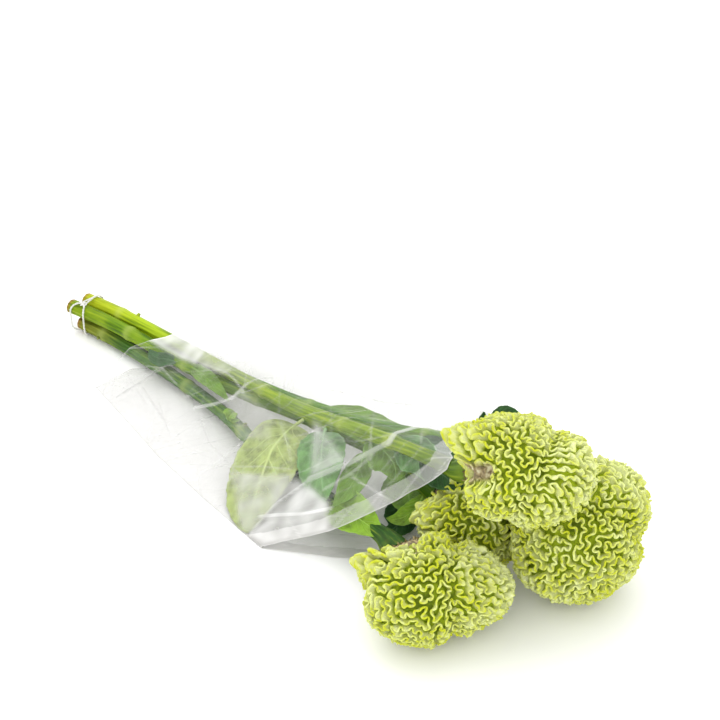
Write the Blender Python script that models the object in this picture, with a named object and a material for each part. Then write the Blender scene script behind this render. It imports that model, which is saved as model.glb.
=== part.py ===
"""A tied bunch of cut green cockscomb celosia lying in a clear flower sleeve.

Run with: blender --background --python part.py
Metres, +Z up, the bunch lies on z = 0 with its cut ends at -X and its heads at +X.
"""

import math

import bmesh
import bpy
import numpy as np
from mathutils.geometry import delaunay_2d_cdt

MM = 0.001
GAP = 0.0004
# The middle of the bunch's outline in plan, in the tables' frame. It becomes the origin.
MIDDLE = (5 * MM, -7 * MM, 0)

# Flower heads: centre, radii along the crest's own axes, turn of those axes about Z,
# the neck's place, bumps as (direction, share, spread) and grooves as (normal, offset, share, spread).
HEADS = {
    "crest_1": {
        "centre": (187, -20, 106),
        "radii": (45, 37, 30),
        "turn": 5,
        "neck": (149, -13, 83),
        "bumps": [((0.75, 0.62, 0.35), 0.10, 0.45), ((-0.45, -0.75, 0.1), 0.08, 0.5)],
        "grooves": [((0.80, 0.35, -0.45), 0.22, 0.13, 0.14)],
        "seed": 11,
    },
    "crest_2": {
        "centre": (145, 3, 31),
        "radii": (34, 36, 31),
        "turn": 0,
        "neck": (105, 14, 29),
        "bumps": [((-0.5, -0.8, 0.3), 0.09, 0.5), ((0.5, 0.3, 0.8), 0.07, 0.5)],
        "grooves": [((0.75, -0.65, 0.1), 0.05, 0.09, 0.13)],
        "seed": 22,
    },
    "crest_3": {
        "centre": (160, -66, 31),
        "radii": (35, 43, 31),
        "turn": -25,
        "neck": (119, -47, 29),
        "bumps": [((-0.6, -0.7, 0.4), 0.10, 0.4), ((0.2, -0.9, 0.3), 0.05, 0.5)],
        "grooves": [((0.80, 0.60, 0.0), 0.42, 0.13, 0.13)],
        "seed": 33,
    },
    "crest_4": {
        "centre": (209, 19, 46),
        "radii": (41, 44, 46),
        "turn": 0,
        "neck": (162, 47, 42),
        "bumps": [((0.45, 0.75, 0.65), 0.12, 0.4), ((-0.2, -0.9, -0.4), 0.08, 0.5)],
        "grooves": [((0.1, 0.75, 0.65), 0.38, 0.10, 0.15)],
        "seed": 44,
    },
}
NECK_RADIUS = 7.5 * MM
NECK_SIDES = 12
COLLAR_SHARE = 0.92
COLLAR_FLARE = 1.25
# Half the angle of the cone that the crest's underside follows from its neck.
UNDERSIDE_ANGLE = math.radians(46)
RIBBON_DEPTH = 6.0 * MM
RIBBON_LIP = 1.7 * MM
RIBBON_ROOT = 3.2 * MM
RIBBON_STEP = 6.3 * MM
RUFFLE = 1.2 * MM
SHORTEST_RIBBON = 16 * MM
EASING_ROUNDS = 2
# A ribbon's half widths are held to these shares of the distance to the next ribbon.
ROOT_ROOM, LIP_ROOM = 0.40, 0.22
# The field behind the folds: the length of one fold, rounds of growth, rounds of spreading in each
# for its narrow and its wide average, and how sharply it saturates. The wide average spreads 1.6
# times as far as the narrow one, which makes a fold 5.72 times as long as the narrow spread.
FOLD_LENGTH = 16.5 * MM
FOLD_PER_SPREAD = 5.72
FOLD_ROUNDS = 11
NARROW_ROUNDS, WIDE_ROUNDS = 10, 16
FOLD_SHARPNESS = 1.8
BALL_SUBDIVISIONS = 6
PLEATS = 15
PLEAT_ANGLE = math.radians(48)
BARE_NECK_ANGLE = math.radians(33)

# Stems: way points from the cut end towards the neck, in millimetres, and the head that each carries.
# The profile gives the radius at shares of the length: thick at the cut end, flared under the head.
STEM_RADIUS_CUT = 5.1 * MM
STEM_RADIUS_MIDDLE = 4.5 * MM
STEM_RADIUS_NECK = 6.4 * MM
PROFILE_SHARES = [0, 0.35, 0.86, 1]
PROFILE_RADII = [STEM_RADIUS_CUT, STEM_RADIUS_MIDDLE, STEM_RADIUS_MIDDLE, STEM_RADIUS_NECK]
STEM_SIDES = 8
STEM_POINTS, PATH_POINTS = 19, 60
SPAN_POINTS = 12
NECK_RUN = 12 * MM
STEMS = {
    "stem_1": {
        "head": "crest_1",
        "way": [(-236, 49.5, 18.8), (-203, 50, 19.2), (-145, 46, 20), (-107, 41, 22.5),
                (-62, 32, 28.5), (-24, 22, 36), (11, 14, 45), (82, 2, 63)],
    },
    "stem_2": {
        "head": "crest_2",
        "way": [(-240, 37.5, 18.1), (-203, 38.5, 18), (-152, 35.5, 17.5), (-120, 33.5, 16.6),
                (-92, 33.5, 15.5), (-64, 34, 16), (-20, 34, 19), (55, 28, 25)],
    },
    "stem_3": {
        "head": "crest_3",
        "way": [(-231, 38.5, 7.1), (-204, 37, 7.1), (-152, 31, 6.8), (-120, 25.5, 7.2), (-76, 15, 9),
                (-31, -1, 11), (23, -17, 15), (74, -29, 21)],
    },
    "stem_4": {
        "head": "crest_4",
        "way": [(-237, 49.8, 7.1), (-190, 53, 7.1), (-145, 54, 7.2), (-90, 53, 9), (-30, 52, 13),
                (40, 57, 21), (100, 65, 32)],
    },
}
# Stumps that stripped leaves left: stem, place along X in millimetres, and direction.
STUB_LENGTH = 4 * MM
STUB_RADII = [1.8, 1.6, 0.9]
STUB_SIDES = 6
SIDE_STUBS = [
    ("stem_4", -188, (0.1, 0.8, 0.6)),
    ("stem_3", -206, (0.2, -0.8, 0.3)),
    ("stem_3", -48, (0.2, 0.3, 1.0)),
]

# Leaves: stem, place of the root along X, middle and tip of the blade, and its width, all in millimetres,
# then the side that the blade faces.
LEAF_THICKNESS = 0.8 * MM
LEAF_ROWS, LEAF_COLUMNS = 9, 5
# The blade rises from its rib by the fold's share of its half width, and its edge waves by the wave's
# share. The outline's powers set where the blade is widest and how full it is.
LEAF_FOLD, LEAF_WAVE = 0.16, 0.10
WAVE_RATE, WAVE_SKEW = 9, 1.3
WIDEST_POWER, FULLNESS_POWER, BLADE_TAPER = 0.78, 0.85, 0.25
STALK_SHARE = 0.12
STALK_HALF = 0.9 * MM
RIB_SWELL, STALK_SWELL = 0.6, 1.2
LEAVES = [
    ("stem_2", -16, (0, -18, 31), (14, -58, 4), 46, (0.3, -0.5, 1.0)),
    ("stem_2", 2, (20, 2, 32), (46, -22, 27), 33, (0.5, -0.6, 1.0)),
    ("stem_2", 76, (68, -6, 34), (58, -33, 25), 25, (-0.2, -0.5, 1.0)),
    ("stem_1", 58, (80, -4, 55), (96, -10, 43), 28, (0.3, -0.5, 1.0)),
    ("stem_1", 78, (98, 12, 60), (114, 14, 53), 22, (0.2, 0.3, 1.0)),
    ("stem_1", 98, (120, 6, 70), (140, 10, 68), 20, (0.1, 0.2, 1.0)),
    ("stem_3", 36, (63, -12, 7), (84, -3, 6), 30, (0.0, -0.2, 1.0)),
    ("stem_2", 86, (90, 4, 16), (92, -12, 9), 13, (-0.4, -0.3, 1.0)),
    ("stem_4", 119, (127, 60, 62), (144, 52, 84), 24, (-0.4, -0.9, 0.5)),
    ("stem_2", -126, (-138, 22, 24), (-152, 16, 18), 18, (0.0, -0.4, 1.0)),
    ("stem_2", -122, (-98, 25, 23), (-70, 17, 19), 13, (0.0, -0.5, 1.0)),
    ("stem_4", -27, (14, 62, 16), (52, 66, 14), 24, (0.0, 0.3, 1.0)),
]

# Sleeve: the film's edges in plan as (x, y) in millimetres, near and far, and its far edge's height.
FILM_WALL = 0.8 * MM
FILM_CLEARANCE = 1.5 * MM
ROOF_WALL = 1.35 * FILM_WALL
UNDER_FILM = 2.4 * MM
OVER_FILM = 1.7 * MM
FILM_EDGE_HEIGHT = 2.6 * MM
NEAR_EDGE = [(-176, -8), (-128, -25), (-85, -41), (-28, -57), (30, -71), (130, -78)]
FAR_EDGE = [(-176, 70), (-145, 72), (-80, 76), (-20, 84), (40, 92), (130, 96)]
FAR_EDGE_HEIGHT = [(-176, 6), (-120, 8), (-60, 20), (20, 32), (130, 36)]
FLAT_UNTIL = 60 * MM
FAR_RISE = 1.5
NARROW_RIM = [(0.0, -173), (0.35, -168), (0.55, -150), (0.7, -144), (1.0, -138)]
WIDE_RIM = [(0.0, 30), (0.22, 58), (0.42, 88), (0.55, 112), (0.64, 122), (1.0, 100)]
FILM_ROWS = 11
NEAR_COLUMNS, FAR_COLUMNS = 8, 5
RIM_MARGIN = 4 * MM
# Shares of the way across the film, by increasing y, at its near edge, at both sides of the ridge
# that it makes over stem_1, and at its far edge.
MARK_SHARES = [0, 0.55, 0.7, 1]
RIDGE_HALF = 5.5 * MM
OVER_STEM = np.radians(np.arange(20, 161, 20))

# Tie: two turns of a string round the stems, each as (x at the stems' near side, x at their far side).
TIE_THICKNESS = 1.6 * MM
TIE_SLACK = 0.45 * MM
TIE_SIDES, TIE_STEP = 5, 6 * MM
ROUND_STEM = np.radians(np.arange(0, 360, 30))
TIE_TURNS = [(-231.5, -221), (-219, -227)]

# Finishes: base colour, roughness and alpha. Nothing here is metal.
FINISHES = {
    "crest_1": ((0.50, 0.58, 0.08, 1), 0.55, 1),
    "crest_2": ((0.47, 0.56, 0.08, 1), 0.55, 1),
    "crest_3": ((0.49, 0.58, 0.10, 1), 0.55, 1),
    "crest_4": ((0.45, 0.55, 0.07, 1), 0.55, 1),
    "stem_1": ((0.48, 0.55, 0.03, 1), 0.45, 1),
    "stem_2": ((0.22, 0.36, 0.04, 1), 0.45, 1),
    "stem_3": ((0.12, 0.20, 0.03, 1), 0.50, 1),
    "stem_4": ((0.20, 0.30, 0.04, 1), 0.45, 1),
    "sleeve": ((0.85, 0.86, 0.84, 1), 0.20, 0.35),
    "tie": ((0.85, 0.85, 0.82, 1), 0.60, 1),
}
SHARP_ANGLE = math.radians(40)


def clear_scene():
    for obj in list(bpy.data.objects):
        bpy.data.objects.remove(obj, do_unlink=True)


def make_material(name):
    colour, roughness, alpha = FINISHES[name]
    material = bpy.data.materials.new(name)
    material.use_nodes = True
    shader = material.node_tree.nodes["Principled BSDF"]
    shader.inputs["Base Color"].default_value = colour
    shader.inputs["Roughness"].default_value = roughness
    shader.inputs["Metallic"].default_value = 0
    shader.inputs["Alpha"].default_value = alpha
    return material


def add_object(name, points, faces, place=(0, 0, 0)):
    """An object whose points are given from its own place in the tables' frame."""
    mesh = bpy.data.meshes.new(name)
    mesh.from_pydata(np.asarray(points).tolist(), [], [tuple(map(int, face)) for face in faces])
    mesh.update()
    obj = bpy.data.objects.new(name, mesh)
    obj.location = np.asarray(place) - MIDDLE
    bpy.context.scene.collection.objects.link(obj)
    return obj


def finish(obj):
    """The object gets its own material, and its round surfaces are shaded smooth."""
    obj.data.materials.clear()
    obj.data.materials.append(make_material(obj.name))
    obj.data.shade_smooth()
    obj.data.set_sharp_from_angle(angle=SHARP_ANGLE)


def unit(vector):
    vector = np.asarray(vector, float)
    return vector / np.linalg.norm(vector, axis=-1, keepdims=True)


def smooth_curve(knots, count):
    """Points along a Catmull-Rom curve through the knots, evenly spaced."""
    knots = np.asarray(knots, float)
    ends = np.vstack([2 * knots[0] - knots[1], knots, 2 * knots[-1] - knots[-2]])
    dense = []
    for a, b, c, d in zip(ends[:-3], ends[1:-2], ends[2:-1], ends[3:]):
        t = np.linspace(0, 1, SPAN_POINTS, endpoint=False)[:, None]
        bend = (2 * a - 5 * b + 4 * c - d) * t**2
        dense.append(0.5 * (2 * b + (c - a) * t + bend + (3 * b - a - 3 * c + d) * t**3))
    dense = np.vstack(dense + [knots[-1:]])
    along = np.concatenate([[0], np.cumsum(np.linalg.norm(np.diff(dense, axis=0), axis=1))])
    wanted = np.linspace(0, along[-1], count)
    return np.stack([np.interp(wanted, along, dense[:, k]) for k in range(3)], 1)


# Crests: a star-shaped body whose surface carries folded ribbons that stand out of a smaller core.


def neck_frame(head):
    """Unit vectors, the last one from the head's centre to its neck, and the neck's distance."""
    to_neck = (np.array(head["neck"]) - np.array(head["centre"])) * MM
    length = np.linalg.norm(to_neck)
    axis = to_neck / length
    side = unit(np.cross(axis, (0, 0, 1)))
    return np.array([side, np.cross(axis, side), axis]), length


def ellipsoid_reach(head, direction):
    """How far the head's plain ellipsoid reaches along each direction."""
    turn = math.radians(head["turn"])
    x = direction[..., 0] * math.cos(turn) + direction[..., 1] * math.sin(turn)
    y = -direction[..., 0] * math.sin(turn) + direction[..., 1] * math.cos(turn)
    scaled = np.stack([x, y, direction[..., 2]], -1) / (np.array(head["radii"]) * MM)
    return 1 / np.linalg.norm(scaled, axis=-1)


def lobed_reach(head, direction):
    """The ellipsoid's reach with the head's bumps and grooves, cut to a cone towards the neck."""
    share = np.ones(direction.shape[:-1])
    for towards, amount, spread in head["bumps"]:
        away = np.linalg.norm(direction - unit(towards), axis=-1)
        share = share + amount * np.exp(-((away / spread) ** 2))
    for normal, offset, amount, spread in head["grooves"]:
        away = direction @ unit(normal) - offset
        share = share - amount * np.exp(-((away / spread) ** 2))
    frame, neck = neck_frame(head)
    from_neck = np.arccos(np.clip(direction @ frame[2], -1, 1))
    opening = np.maximum(np.sin(from_neck + UNDERSIDE_ANGLE), 1e-6)
    cone = np.where(from_neck < math.pi / 2, neck * math.sin(UNDERSIDE_ANGLE) / opening, 1.0)
    return np.minimum(ellipsoid_reach(head, direction) * share, cone)


def contact_planes(name):
    """Planes that part this head from its neighbours and the floor: normal, distance from its centre."""
    head = HEADS[name]
    centre = np.array(head["centre"]) * MM
    planes = [(np.array([0, 0, -1.0]), centre[2])]
    for other in HEADS:
        if other == name:
            continue
        apart = np.array(HEADS[other]["centre"]) * MM - centre
        distance = np.linalg.norm(apart)
        normal = apart / distance
        mine = ellipsoid_reach(head, normal)
        theirs = ellipsoid_reach(HEADS[other], -normal)
        planes.append((normal, (distance + mine - theirs) / 2 - GAP / 2))
    return planes


def outer_reach(name, direction):
    """How far the ribbons' lips reach along each direction."""
    reach = lobed_reach(HEADS[name], direction)
    for normal, distance in contact_planes(name):
        towards = np.maximum(direction @ normal, 1e-6)
        reach = np.minimum(reach, distance / towards)
    return reach


def sphere_mesh(subdivisions):
    """Directions, triangles and each point's neighbours on a fine icosphere."""
    ball = bmesh.new()
    bmesh.ops.create_icosphere(ball, subdivisions=subdivisions, radius=1)
    ball.verts.ensure_lookup_table()
    points = unit([tuple(v.co) for v in ball.verts])
    faces = np.array([[v.index for v in f.verts] for f in ball.faces])
    around = [[e.other_vert(v).index for e in v.link_edges] for v in ball.verts]
    ball.free()
    neighbours = np.array([ring + ring[: 6 - len(ring)] for ring in around])
    return points, faces, neighbours


def spread_out(field, neighbours, rate, rounds):
    for _ in range(rounds):
        field = field + rate * (field[neighbours].mean(axis=1) - field)
    return field


def folded_field(name, points, neighbours):
    """A field whose zero lines wander over the head like its ribbons, and run straight to the neck."""
    head = HEADS[name]
    frame, _ = neck_frame(head)
    reach = outer_reach(name, points)
    edge = np.linalg.norm(points[neighbours] - points[:, None], axis=2).mean(axis=1) * reach
    spread = FOLD_LENGTH / FOLD_PER_SPREAD
    rate = np.clip(2 * spread**2 / (NARROW_ROUNDS * edge**2), 0.05, 0.95)
    local = points @ frame.T
    near_neck = np.arccos(np.clip(local[:, 2], -1, 1)) < PLEAT_ANGLE
    pleats = np.cos(PLEATS * np.arctan2(local[:, 1], local[:, 0]))
    field = np.random.default_rng(head["seed"]).normal(size=len(points))
    for _ in range(FOLD_ROUNDS):
        field = np.where(near_neck, pleats, field)
        narrow = spread_out(field, neighbours, rate, NARROW_ROUNDS)
        wide = spread_out(narrow, neighbours, rate, WIDE_ROUNDS)
        field = narrow - wide
        field = np.tanh(FOLD_SHARPNESS * field / field.std())
    return np.where(near_neck, pleats, field)


def zero_lines(points, faces, field):
    """The field's zero lines as closed loops of directions."""
    field = np.where(np.abs(field) < 1e-9, 1e-9, field)
    crossing = {}
    links = {}
    mixed = faces[np.abs(np.sign(field[faces]).sum(axis=1)) < 3]
    for a, b, c in mixed:
        keys = []
        for p, q in ((a, b), (b, c), (c, a)):
            if field[p] * field[q] < 0:
                key = (min(p, q), max(p, q))
                keys.append(key)
                between = points[p] * field[q] - points[q] * field[p]
                crossing[key] = unit(between / (field[q] - field[p]))
        links.setdefault(keys[0], []).append(keys[1])
        links.setdefault(keys[1], []).append(keys[0])
    loops = []
    left = set(links)
    for start in sorted(links):
        if start not in left:
            continue
        loop = [start]
        left.discard(start)
        while True:
            onward = [k for k in links[loop[-1]] if k in left]
            if not onward:
                break
            loop.append(onward[0])
            left.discard(onward[0])
        loops.append(np.array([crossing[k] for k in loop]))
    return loops


def even_points(line, closed, step):
    """The same line with points about one step apart."""
    if closed:
        line = np.vstack([line, line[:1]])
    along = np.concatenate([[0], np.cumsum(np.linalg.norm(np.diff(line, axis=0), axis=1))])
    count = max(4, int(round(along[-1] / step)))
    wanted = np.linspace(0, along[-1], count + 1)
    if closed:
        wanted = wanted[:-1]
    return np.stack([np.interp(wanted, along, line[:, k]) for k in range(3)], 1)


def relaxed(line, closed, rounds):
    """The line with its kinks eased."""
    for _ in range(rounds):
        before = np.roll(line, 1, axis=0)
        after = np.roll(line, -1, axis=0)
        eased = 0.25 * before + 0.5 * line + 0.25 * after
        if not closed:
            eased[0], eased[-1] = line[0], line[-1]
        line = eased
    return line


def across_line(line, closed):
    """A unit vector at each point that lies in the surface and square to the line."""
    ahead = np.roll(line, -1, axis=0) - np.roll(line, 1, axis=0)
    if not closed:
        ahead[0], ahead[-1] = line[1] - line[0], line[-1] - line[-2]
    return unit(np.cross(ahead, line))


def ruffled(line, closed):
    """The line with its points moved to one side and the other in turn."""
    swing = np.where(np.arange(len(line)) % 2, RUFFLE, -RUFFLE)
    if not closed:
        swing[[0, -1]] = 0
    return line + across_line(line, closed) * swing[:, None]


def stretches(loop, wanted):
    """The runs of a closed loop whose points are all wanted."""
    first = int(np.argmin(wanted))
    loop = np.roll(loop, -first, axis=0)
    wanted = np.roll(wanted, -first)
    cuts = np.flatnonzero(np.diff(wanted.astype(int))) + 1
    runs = zip(np.split(loop, cuts), np.split(wanted, cuts))
    return [run for run, kept in runs if kept.all() and len(run) > 3]


def ribbon_lines(name, points, faces, neighbours):
    """Centre lines of the ribbons on the lips' surface, from the head's centre, as (line, closed)."""
    frame, _ = neck_frame(HEADS[name])
    field = folded_field(name, points, neighbours)
    found = []
    for loop in zero_lines(points, faces, field):
        away = np.arccos(np.clip(loop @ frame[2], -1, 1)) > BARE_NECK_ANGLE
        closed = bool(away.all())
        pieces = [loop] if closed else stretches(loop, away)
        for piece in pieces:
            line = relaxed(piece, closed, EASING_ROUNDS)
            line = unit(line) * outer_reach(name, unit(line))[:, None]
            length = np.linalg.norm(np.diff(line, axis=0), axis=1).sum()
            if length > SHORTEST_RIBBON:
                found.append((ruffled(even_points(line, closed, RIBBON_STEP), closed), closed))
    return found


def room_beside(lines):
    """For each point of each line, the distance to the nearest stretch that isn't its own."""
    everything = np.vstack([line for line, _ in lines])
    owner = np.concatenate([np.full(len(line), k) for k, (line, _) in enumerate(lines)])
    place = np.concatenate([np.arange(len(line)) for line, _ in lines])
    rooms = []
    for k, (line, closed) in enumerate(lines):
        apart = np.linalg.norm(line[:, None] - everything[None], axis=2)
        steps = np.abs(np.arange(len(line))[:, None] - place[None])
        if closed:
            steps = np.minimum(steps, len(line) - steps)
        own = (owner[None] == k) & (steps <= 2)
        rooms.append(np.where(own, 1.0, apart).min(axis=1))
    return rooms


def rails_of(line, closed, room):
    """The ribbon's rails and their share of its height, from its left root to its right root."""
    side = across_line(line, closed)
    root = np.minimum(RIBBON_ROOT / 2, ROOT_ROOM * room)[:, None]
    lip = np.minimum(RIBBON_LIP / 2, LIP_ROOM * room)[:, None]
    left = [(line + side * root, 0.0), (line + side * lip, 1.0)]
    right = [(line - side * lip, 1.0), (line - side * root, 0.0)]
    return left + right


def ring_points(frame, angle):
    """Directions round the neck at this angle from its axis."""
    turn = np.arange(NECK_SIDES) * 2 * math.pi / NECK_SIDES
    along = np.full(NECK_SIDES, math.cos(angle))
    return np.stack([np.cos(turn) * math.sin(angle), np.sin(turn) * math.sin(angle), along], 1) @ frame


def crest_points(name, lines):
    """Every point of the crest's surface as (direction, reach), with the edges that its triangles keep."""
    head = HEADS[name]
    frame, neck = neck_frame(head)
    directions, reaches, edges = [], [], []
    count = 0
    for (line, closed), room in zip(lines, room_beside(lines)):
        starts = []
        for rail, share in rails_of(line, closed, room):
            towards = unit(rail)
            height = np.full(len(rail), share)
            if not closed:
                height[0] = height[-1] = 0
            reach = outer_reach(name, towards) - RIBBON_DEPTH * (1 - height)
            directions.append(towards)
            reaches.append(reach)
            last = len(rail) if closed else len(rail) - 1
            edges += [(count + k, count + (k + 1) % len(rail)) for k in range(last)]
            starts.append(count)
            count += len(rail)
        if not closed:
            for end in (0, len(line) - 1):
                edges += [(a + end, b + end) for a, b in zip(starts[:-1], starts[1:])]
    rim = math.atan2(NECK_RADIUS, neck)
    low = (neck - RIBBON_DEPTH) * COLLAR_SHARE
    collar = math.atan2(NECK_RADIUS * COLLAR_FLARE, low)
    for angle, reach in ((collar, low / math.cos(collar)), (rim, neck / math.cos(rim))):
        directions.append(ring_points(frame, angle))
        reaches.append(np.full(NECK_SIDES, reach))
        edges += [(count + k, count + (k + 1) % NECK_SIDES) for k in range(NECK_SIDES)]
        count += NECK_SIDES
    return np.vstack(directions), np.concatenate(reaches), edges


def crest_mesh(name, lines):
    """The crest's closed surface, triangulated on the plane that its directions project onto."""
    head = HEADS[name]
    frame, neck = neck_frame(head)
    directions, reaches, edges = crest_points(name, lines)
    local = directions @ frame.T
    flat = local[:, :2] / (1 - local[:, 2:3])
    found = delaunay_2d_cdt([tuple(p) for p in flat], edges, [], 0, 1e-7)
    corners, faces, origins = found[0], found[2], found[3]
    flat = np.array([tuple(p) for p in corners])
    size = (flat**2).sum(axis=1)
    local = np.stack([2 * flat[:, 0], 2 * flat[:, 1], size - 1], 1) / (1 + size)[:, None]
    towards = local @ frame
    lowest = outer_reach(name, towards) - RIBBON_DEPTH
    reach = np.array([reaches[own].min() if own else low for own, low in zip(origins, lowest)])
    points = towards * reach[:, None]
    cap = len(points)
    points = np.vstack([points, frame[2] * neck])
    rim = [k for k, own in enumerate(origins) if own and min(own) >= len(directions) - NECK_SIDES]
    rim.sort(key=lambda k: math.atan2(flat[k, 1], flat[k, 0]))
    faces = [tuple(f[::-1]) for f in faces]
    faces += [(a, b, cap) for a, b in zip(rim, rim[1:] + rim[:1])]
    return points, faces


def make_crests():
    points, faces, neighbours = sphere_mesh(BALL_SUBDIVISIONS)
    for name, head in HEADS.items():
        lines = ribbon_lines(name, points, faces, neighbours)
        corners, triangles = crest_mesh(name, lines)
        finish(add_object(name, corners, triangles, np.array(head["centre"]) * MM))


# Stems and leaves.


def stem_knots(name):
    """The stem's way points, with its straight run into the neck of its head."""
    head = HEADS[STEMS[name]["head"]]
    frame, _ = neck_frame(head)
    neck = np.array(head["neck"]) * MM
    way = [np.array(p) * MM for p in STEMS[name]["way"]]
    return way + [neck + frame[2] * NECK_RUN, neck + frame[2] * GAP]


def stem_line(name, count=STEM_POINTS):
    """The stem's middle line: a smooth curve, then one straight piece square to the neck."""
    knots = stem_knots(name)
    return np.vstack([smooth_curve(knots[:-1], count), knots[-1:]])


def stem_radii(line):
    """The stem's radius at each point of its line."""
    return np.interp(np.linspace(0, 1, len(line)), PROFILE_SHARES, PROFILE_RADII)


def at_x(line, x):
    """The point of a line that runs along +X at this x."""
    return np.array([np.interp(x, line[:, 0], line[:, k]) for k in range(3)])


def carried_frames(line, closed=False):
    """A side vector and an up vector at each point, square to the line."""
    if closed:
        ahead = unit(np.roll(line, -1, axis=0) - np.roll(line, 1, axis=0))
    else:
        ahead = unit(np.gradient(line, axis=0))
    side = unit(np.cross((1, 0, 0) if closed else (0, 0, 1), ahead))
    return side, np.cross(ahead, side)


def tube(line, radii, sides, closed=False):
    """Points and triangles of a round bar along a line."""
    side, up = carried_frames(line, closed)
    turn = np.arange(sides) * 2 * math.pi / sides
    ring = np.cos(turn)[None, :, None] * side[:, None] + np.sin(turn)[None, :, None] * up[:, None]
    points = (line[:, None] + ring * np.broadcast_to(radii, len(line))[:, None, None]).reshape(-1, 3)
    rows = len(line)
    faces = []
    for i in range(rows if closed else rows - 1):
        for j in range(sides):
            a, b = i * sides + j, i * sides + (j + 1) % sides
            c, d = (i + 1) % rows * sides + (j + 1) % sides, (i + 1) % rows * sides + j
            faces += [(a, c, b), (a, d, c)]
    if not closed:
        points = np.vstack([points, line[:1], line[-1:]])
        start, end = rows * sides, rows * sides + 1
        for j in range(sides):
            k = (j + 1) % sides
            faces += [(start, j, k), (end, (rows - 1) * sides + k, (rows - 1) * sides + j)]
    return points, faces


def slab(top, bottom):
    """A closed solid between two grids of points, both split into triangles alike."""
    rows, columns = top.shape[:2]
    points = np.vstack([top.reshape(-1, 3), bottom.reshape(-1, 3)])
    under = rows * columns
    faces = []
    for i in range(rows - 1):
        for j in range(columns - 1):
            a, b = i * columns + j, i * columns + j + 1
            d, c = a + columns, b + columns
            faces += [(a, b, c), (a, c, d)]
            faces += [(under + a, under + c, under + b), (under + a, under + d, under + c)]
    rim = [(0, j) for j in range(columns)]
    rim += [(i, columns - 1) for i in range(1, rows)]
    rim += [(rows - 1, j) for j in range(columns - 2, -1, -1)]
    rim += [(i, 0) for i in range(rows - 2, 0, -1)]
    rim = [i * columns + j for i, j in rim]
    for a, b in zip(rim, rim[1:] + rim[:1]):
        faces += [(a, under + a, under + b), (a, under + b, b)]
    return points, faces


def leaf_outline(along):
    """Half the leaf's width as a share of its widest: a stalk, a broad lower blade, a drawn out tip."""
    blade = np.clip((along - STALK_SHARE) / (1 - STALK_SHARE), 0, 1)
    return np.sin(math.pi * blade**WIDEST_POWER) ** FULLNESS_POWER * (1 - BLADE_TAPER * blade)


def leaf_mesh(root, middle, tip, width, facing):
    """One waved leaf from inside its stem to its tip."""
    along = np.linspace(0, 1, LEAF_ROWS)
    control = 2 * middle - (root + tip) / 2
    a, b, c = ((1 - along) ** 2)[:, None], (2 * along * (1 - along))[:, None], (along**2)[:, None]
    rib = a * root + b * control + c * tip
    ahead = unit(np.gradient(rib, axis=0))
    side = unit(np.cross(ahead, facing))
    up = np.cross(side, ahead)
    span = np.maximum(leaf_outline(along) * width / 2, STALK_HALF)
    across = np.linspace(-1, 1, LEAF_COLUMNS)
    wave = np.sin(along[:, None] * WAVE_RATE + across[None] * WAVE_SKEW) * across[None] ** 2
    lift = (LEAF_FOLD * np.abs(across)[None] + LEAF_WAVE * wave) * span[:, None]
    sideways = across[None, :, None] * (side * span[:, None])[:, None]
    grid = kept_under_film(rib[:, None] + sideways + lift[..., None] * up[:, None])
    stalk = np.clip(1 - along / (2 * STALK_SHARE), 0, 1)[:, None]
    thick = LEAF_THICKNESS * (1 + RIB_SWELL * (1 - np.abs(across))[None] + STALK_SWELL * stalk)
    half_up = up[:, None] * thick[..., None] / 2
    return slab(grid + half_up, grid - half_up)


def stub_mesh(line, x, towards):
    """The short stump that a stripped leaf leaves on its stem."""
    root = at_x(line, x)
    tip = root + unit(towards) * (STEM_RADIUS_MIDDLE + STUB_LENGTH)
    return tube(np.linspace(root, tip, len(STUB_RADII)), np.array(STUB_RADII) * MM, STUB_SIDES)


def joined(name, parts):
    """One object from the first part with the others united to it."""
    base = add_object(name, *parts[0])
    helpers = bpy.data.collections.new(name + "_parts")
    bpy.context.scene.collection.children.link(helpers)
    for k, part in enumerate(parts[1:]):
        piece = add_object(f"{name}_part_{k}", *part)
        bpy.context.scene.collection.objects.unlink(piece)
        helpers.objects.link(piece)
    union = base.modifiers.new("Union", "BOOLEAN")
    union.operation = "UNION"
    union.operand_type = "COLLECTION"
    union.collection = helpers
    union.solver = "EXACT"
    union.use_self = True
    graph = bpy.context.evaluated_depsgraph_get()
    whole = bpy.data.meshes.new_from_object(base.evaluated_get(graph))
    base.modifiers.remove(union)
    base.data = whole
    for piece in list(helpers.objects):
        bpy.data.objects.remove(piece, do_unlink=True)
    bpy.data.collections.remove(helpers)
    return base


def make_stems():
    for name in STEMS:
        line = stem_line(name)
        parts = [tube(line, stem_radii(line), STEM_SIDES)]
        for stem, x, middle, tip, width, facing in LEAVES:
            if stem == name:
                blade = np.array([middle, tip]) * MM
                parts.append(leaf_mesh(at_x(line, x * MM), *blade, width * MM, facing))
        for stem, x, towards in SIDE_STUBS:
            if stem == name:
                parts.append(stub_mesh(line, x * MM, towards))
        finish(joined(name, parts))


# Sleeve: a film tube drawn tight over the stems and flat on the floor, open at both ends.


def table_value(table, x):
    return np.interp(x, [p[0] * MM for p in table], [p[1] * MM for p in table])


def upper_hull(points):
    """The points on the upper side of the convex hull, by increasing y."""
    hull = []
    for point in sorted(map(tuple, points)):
        while len(hull) > 1:
            (ay, az), (by, bz) = hull[-2], hull[-1]
            if (by - ay) * (point[1] - az) - (bz - az) * (point[0] - ay) < 0:
                break
            hull.pop()
        hull.append(point)
    return np.array(hull)


STEM_PATHS = {name: stem_line(name, PATH_POINTS) for name in STEMS}


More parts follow.
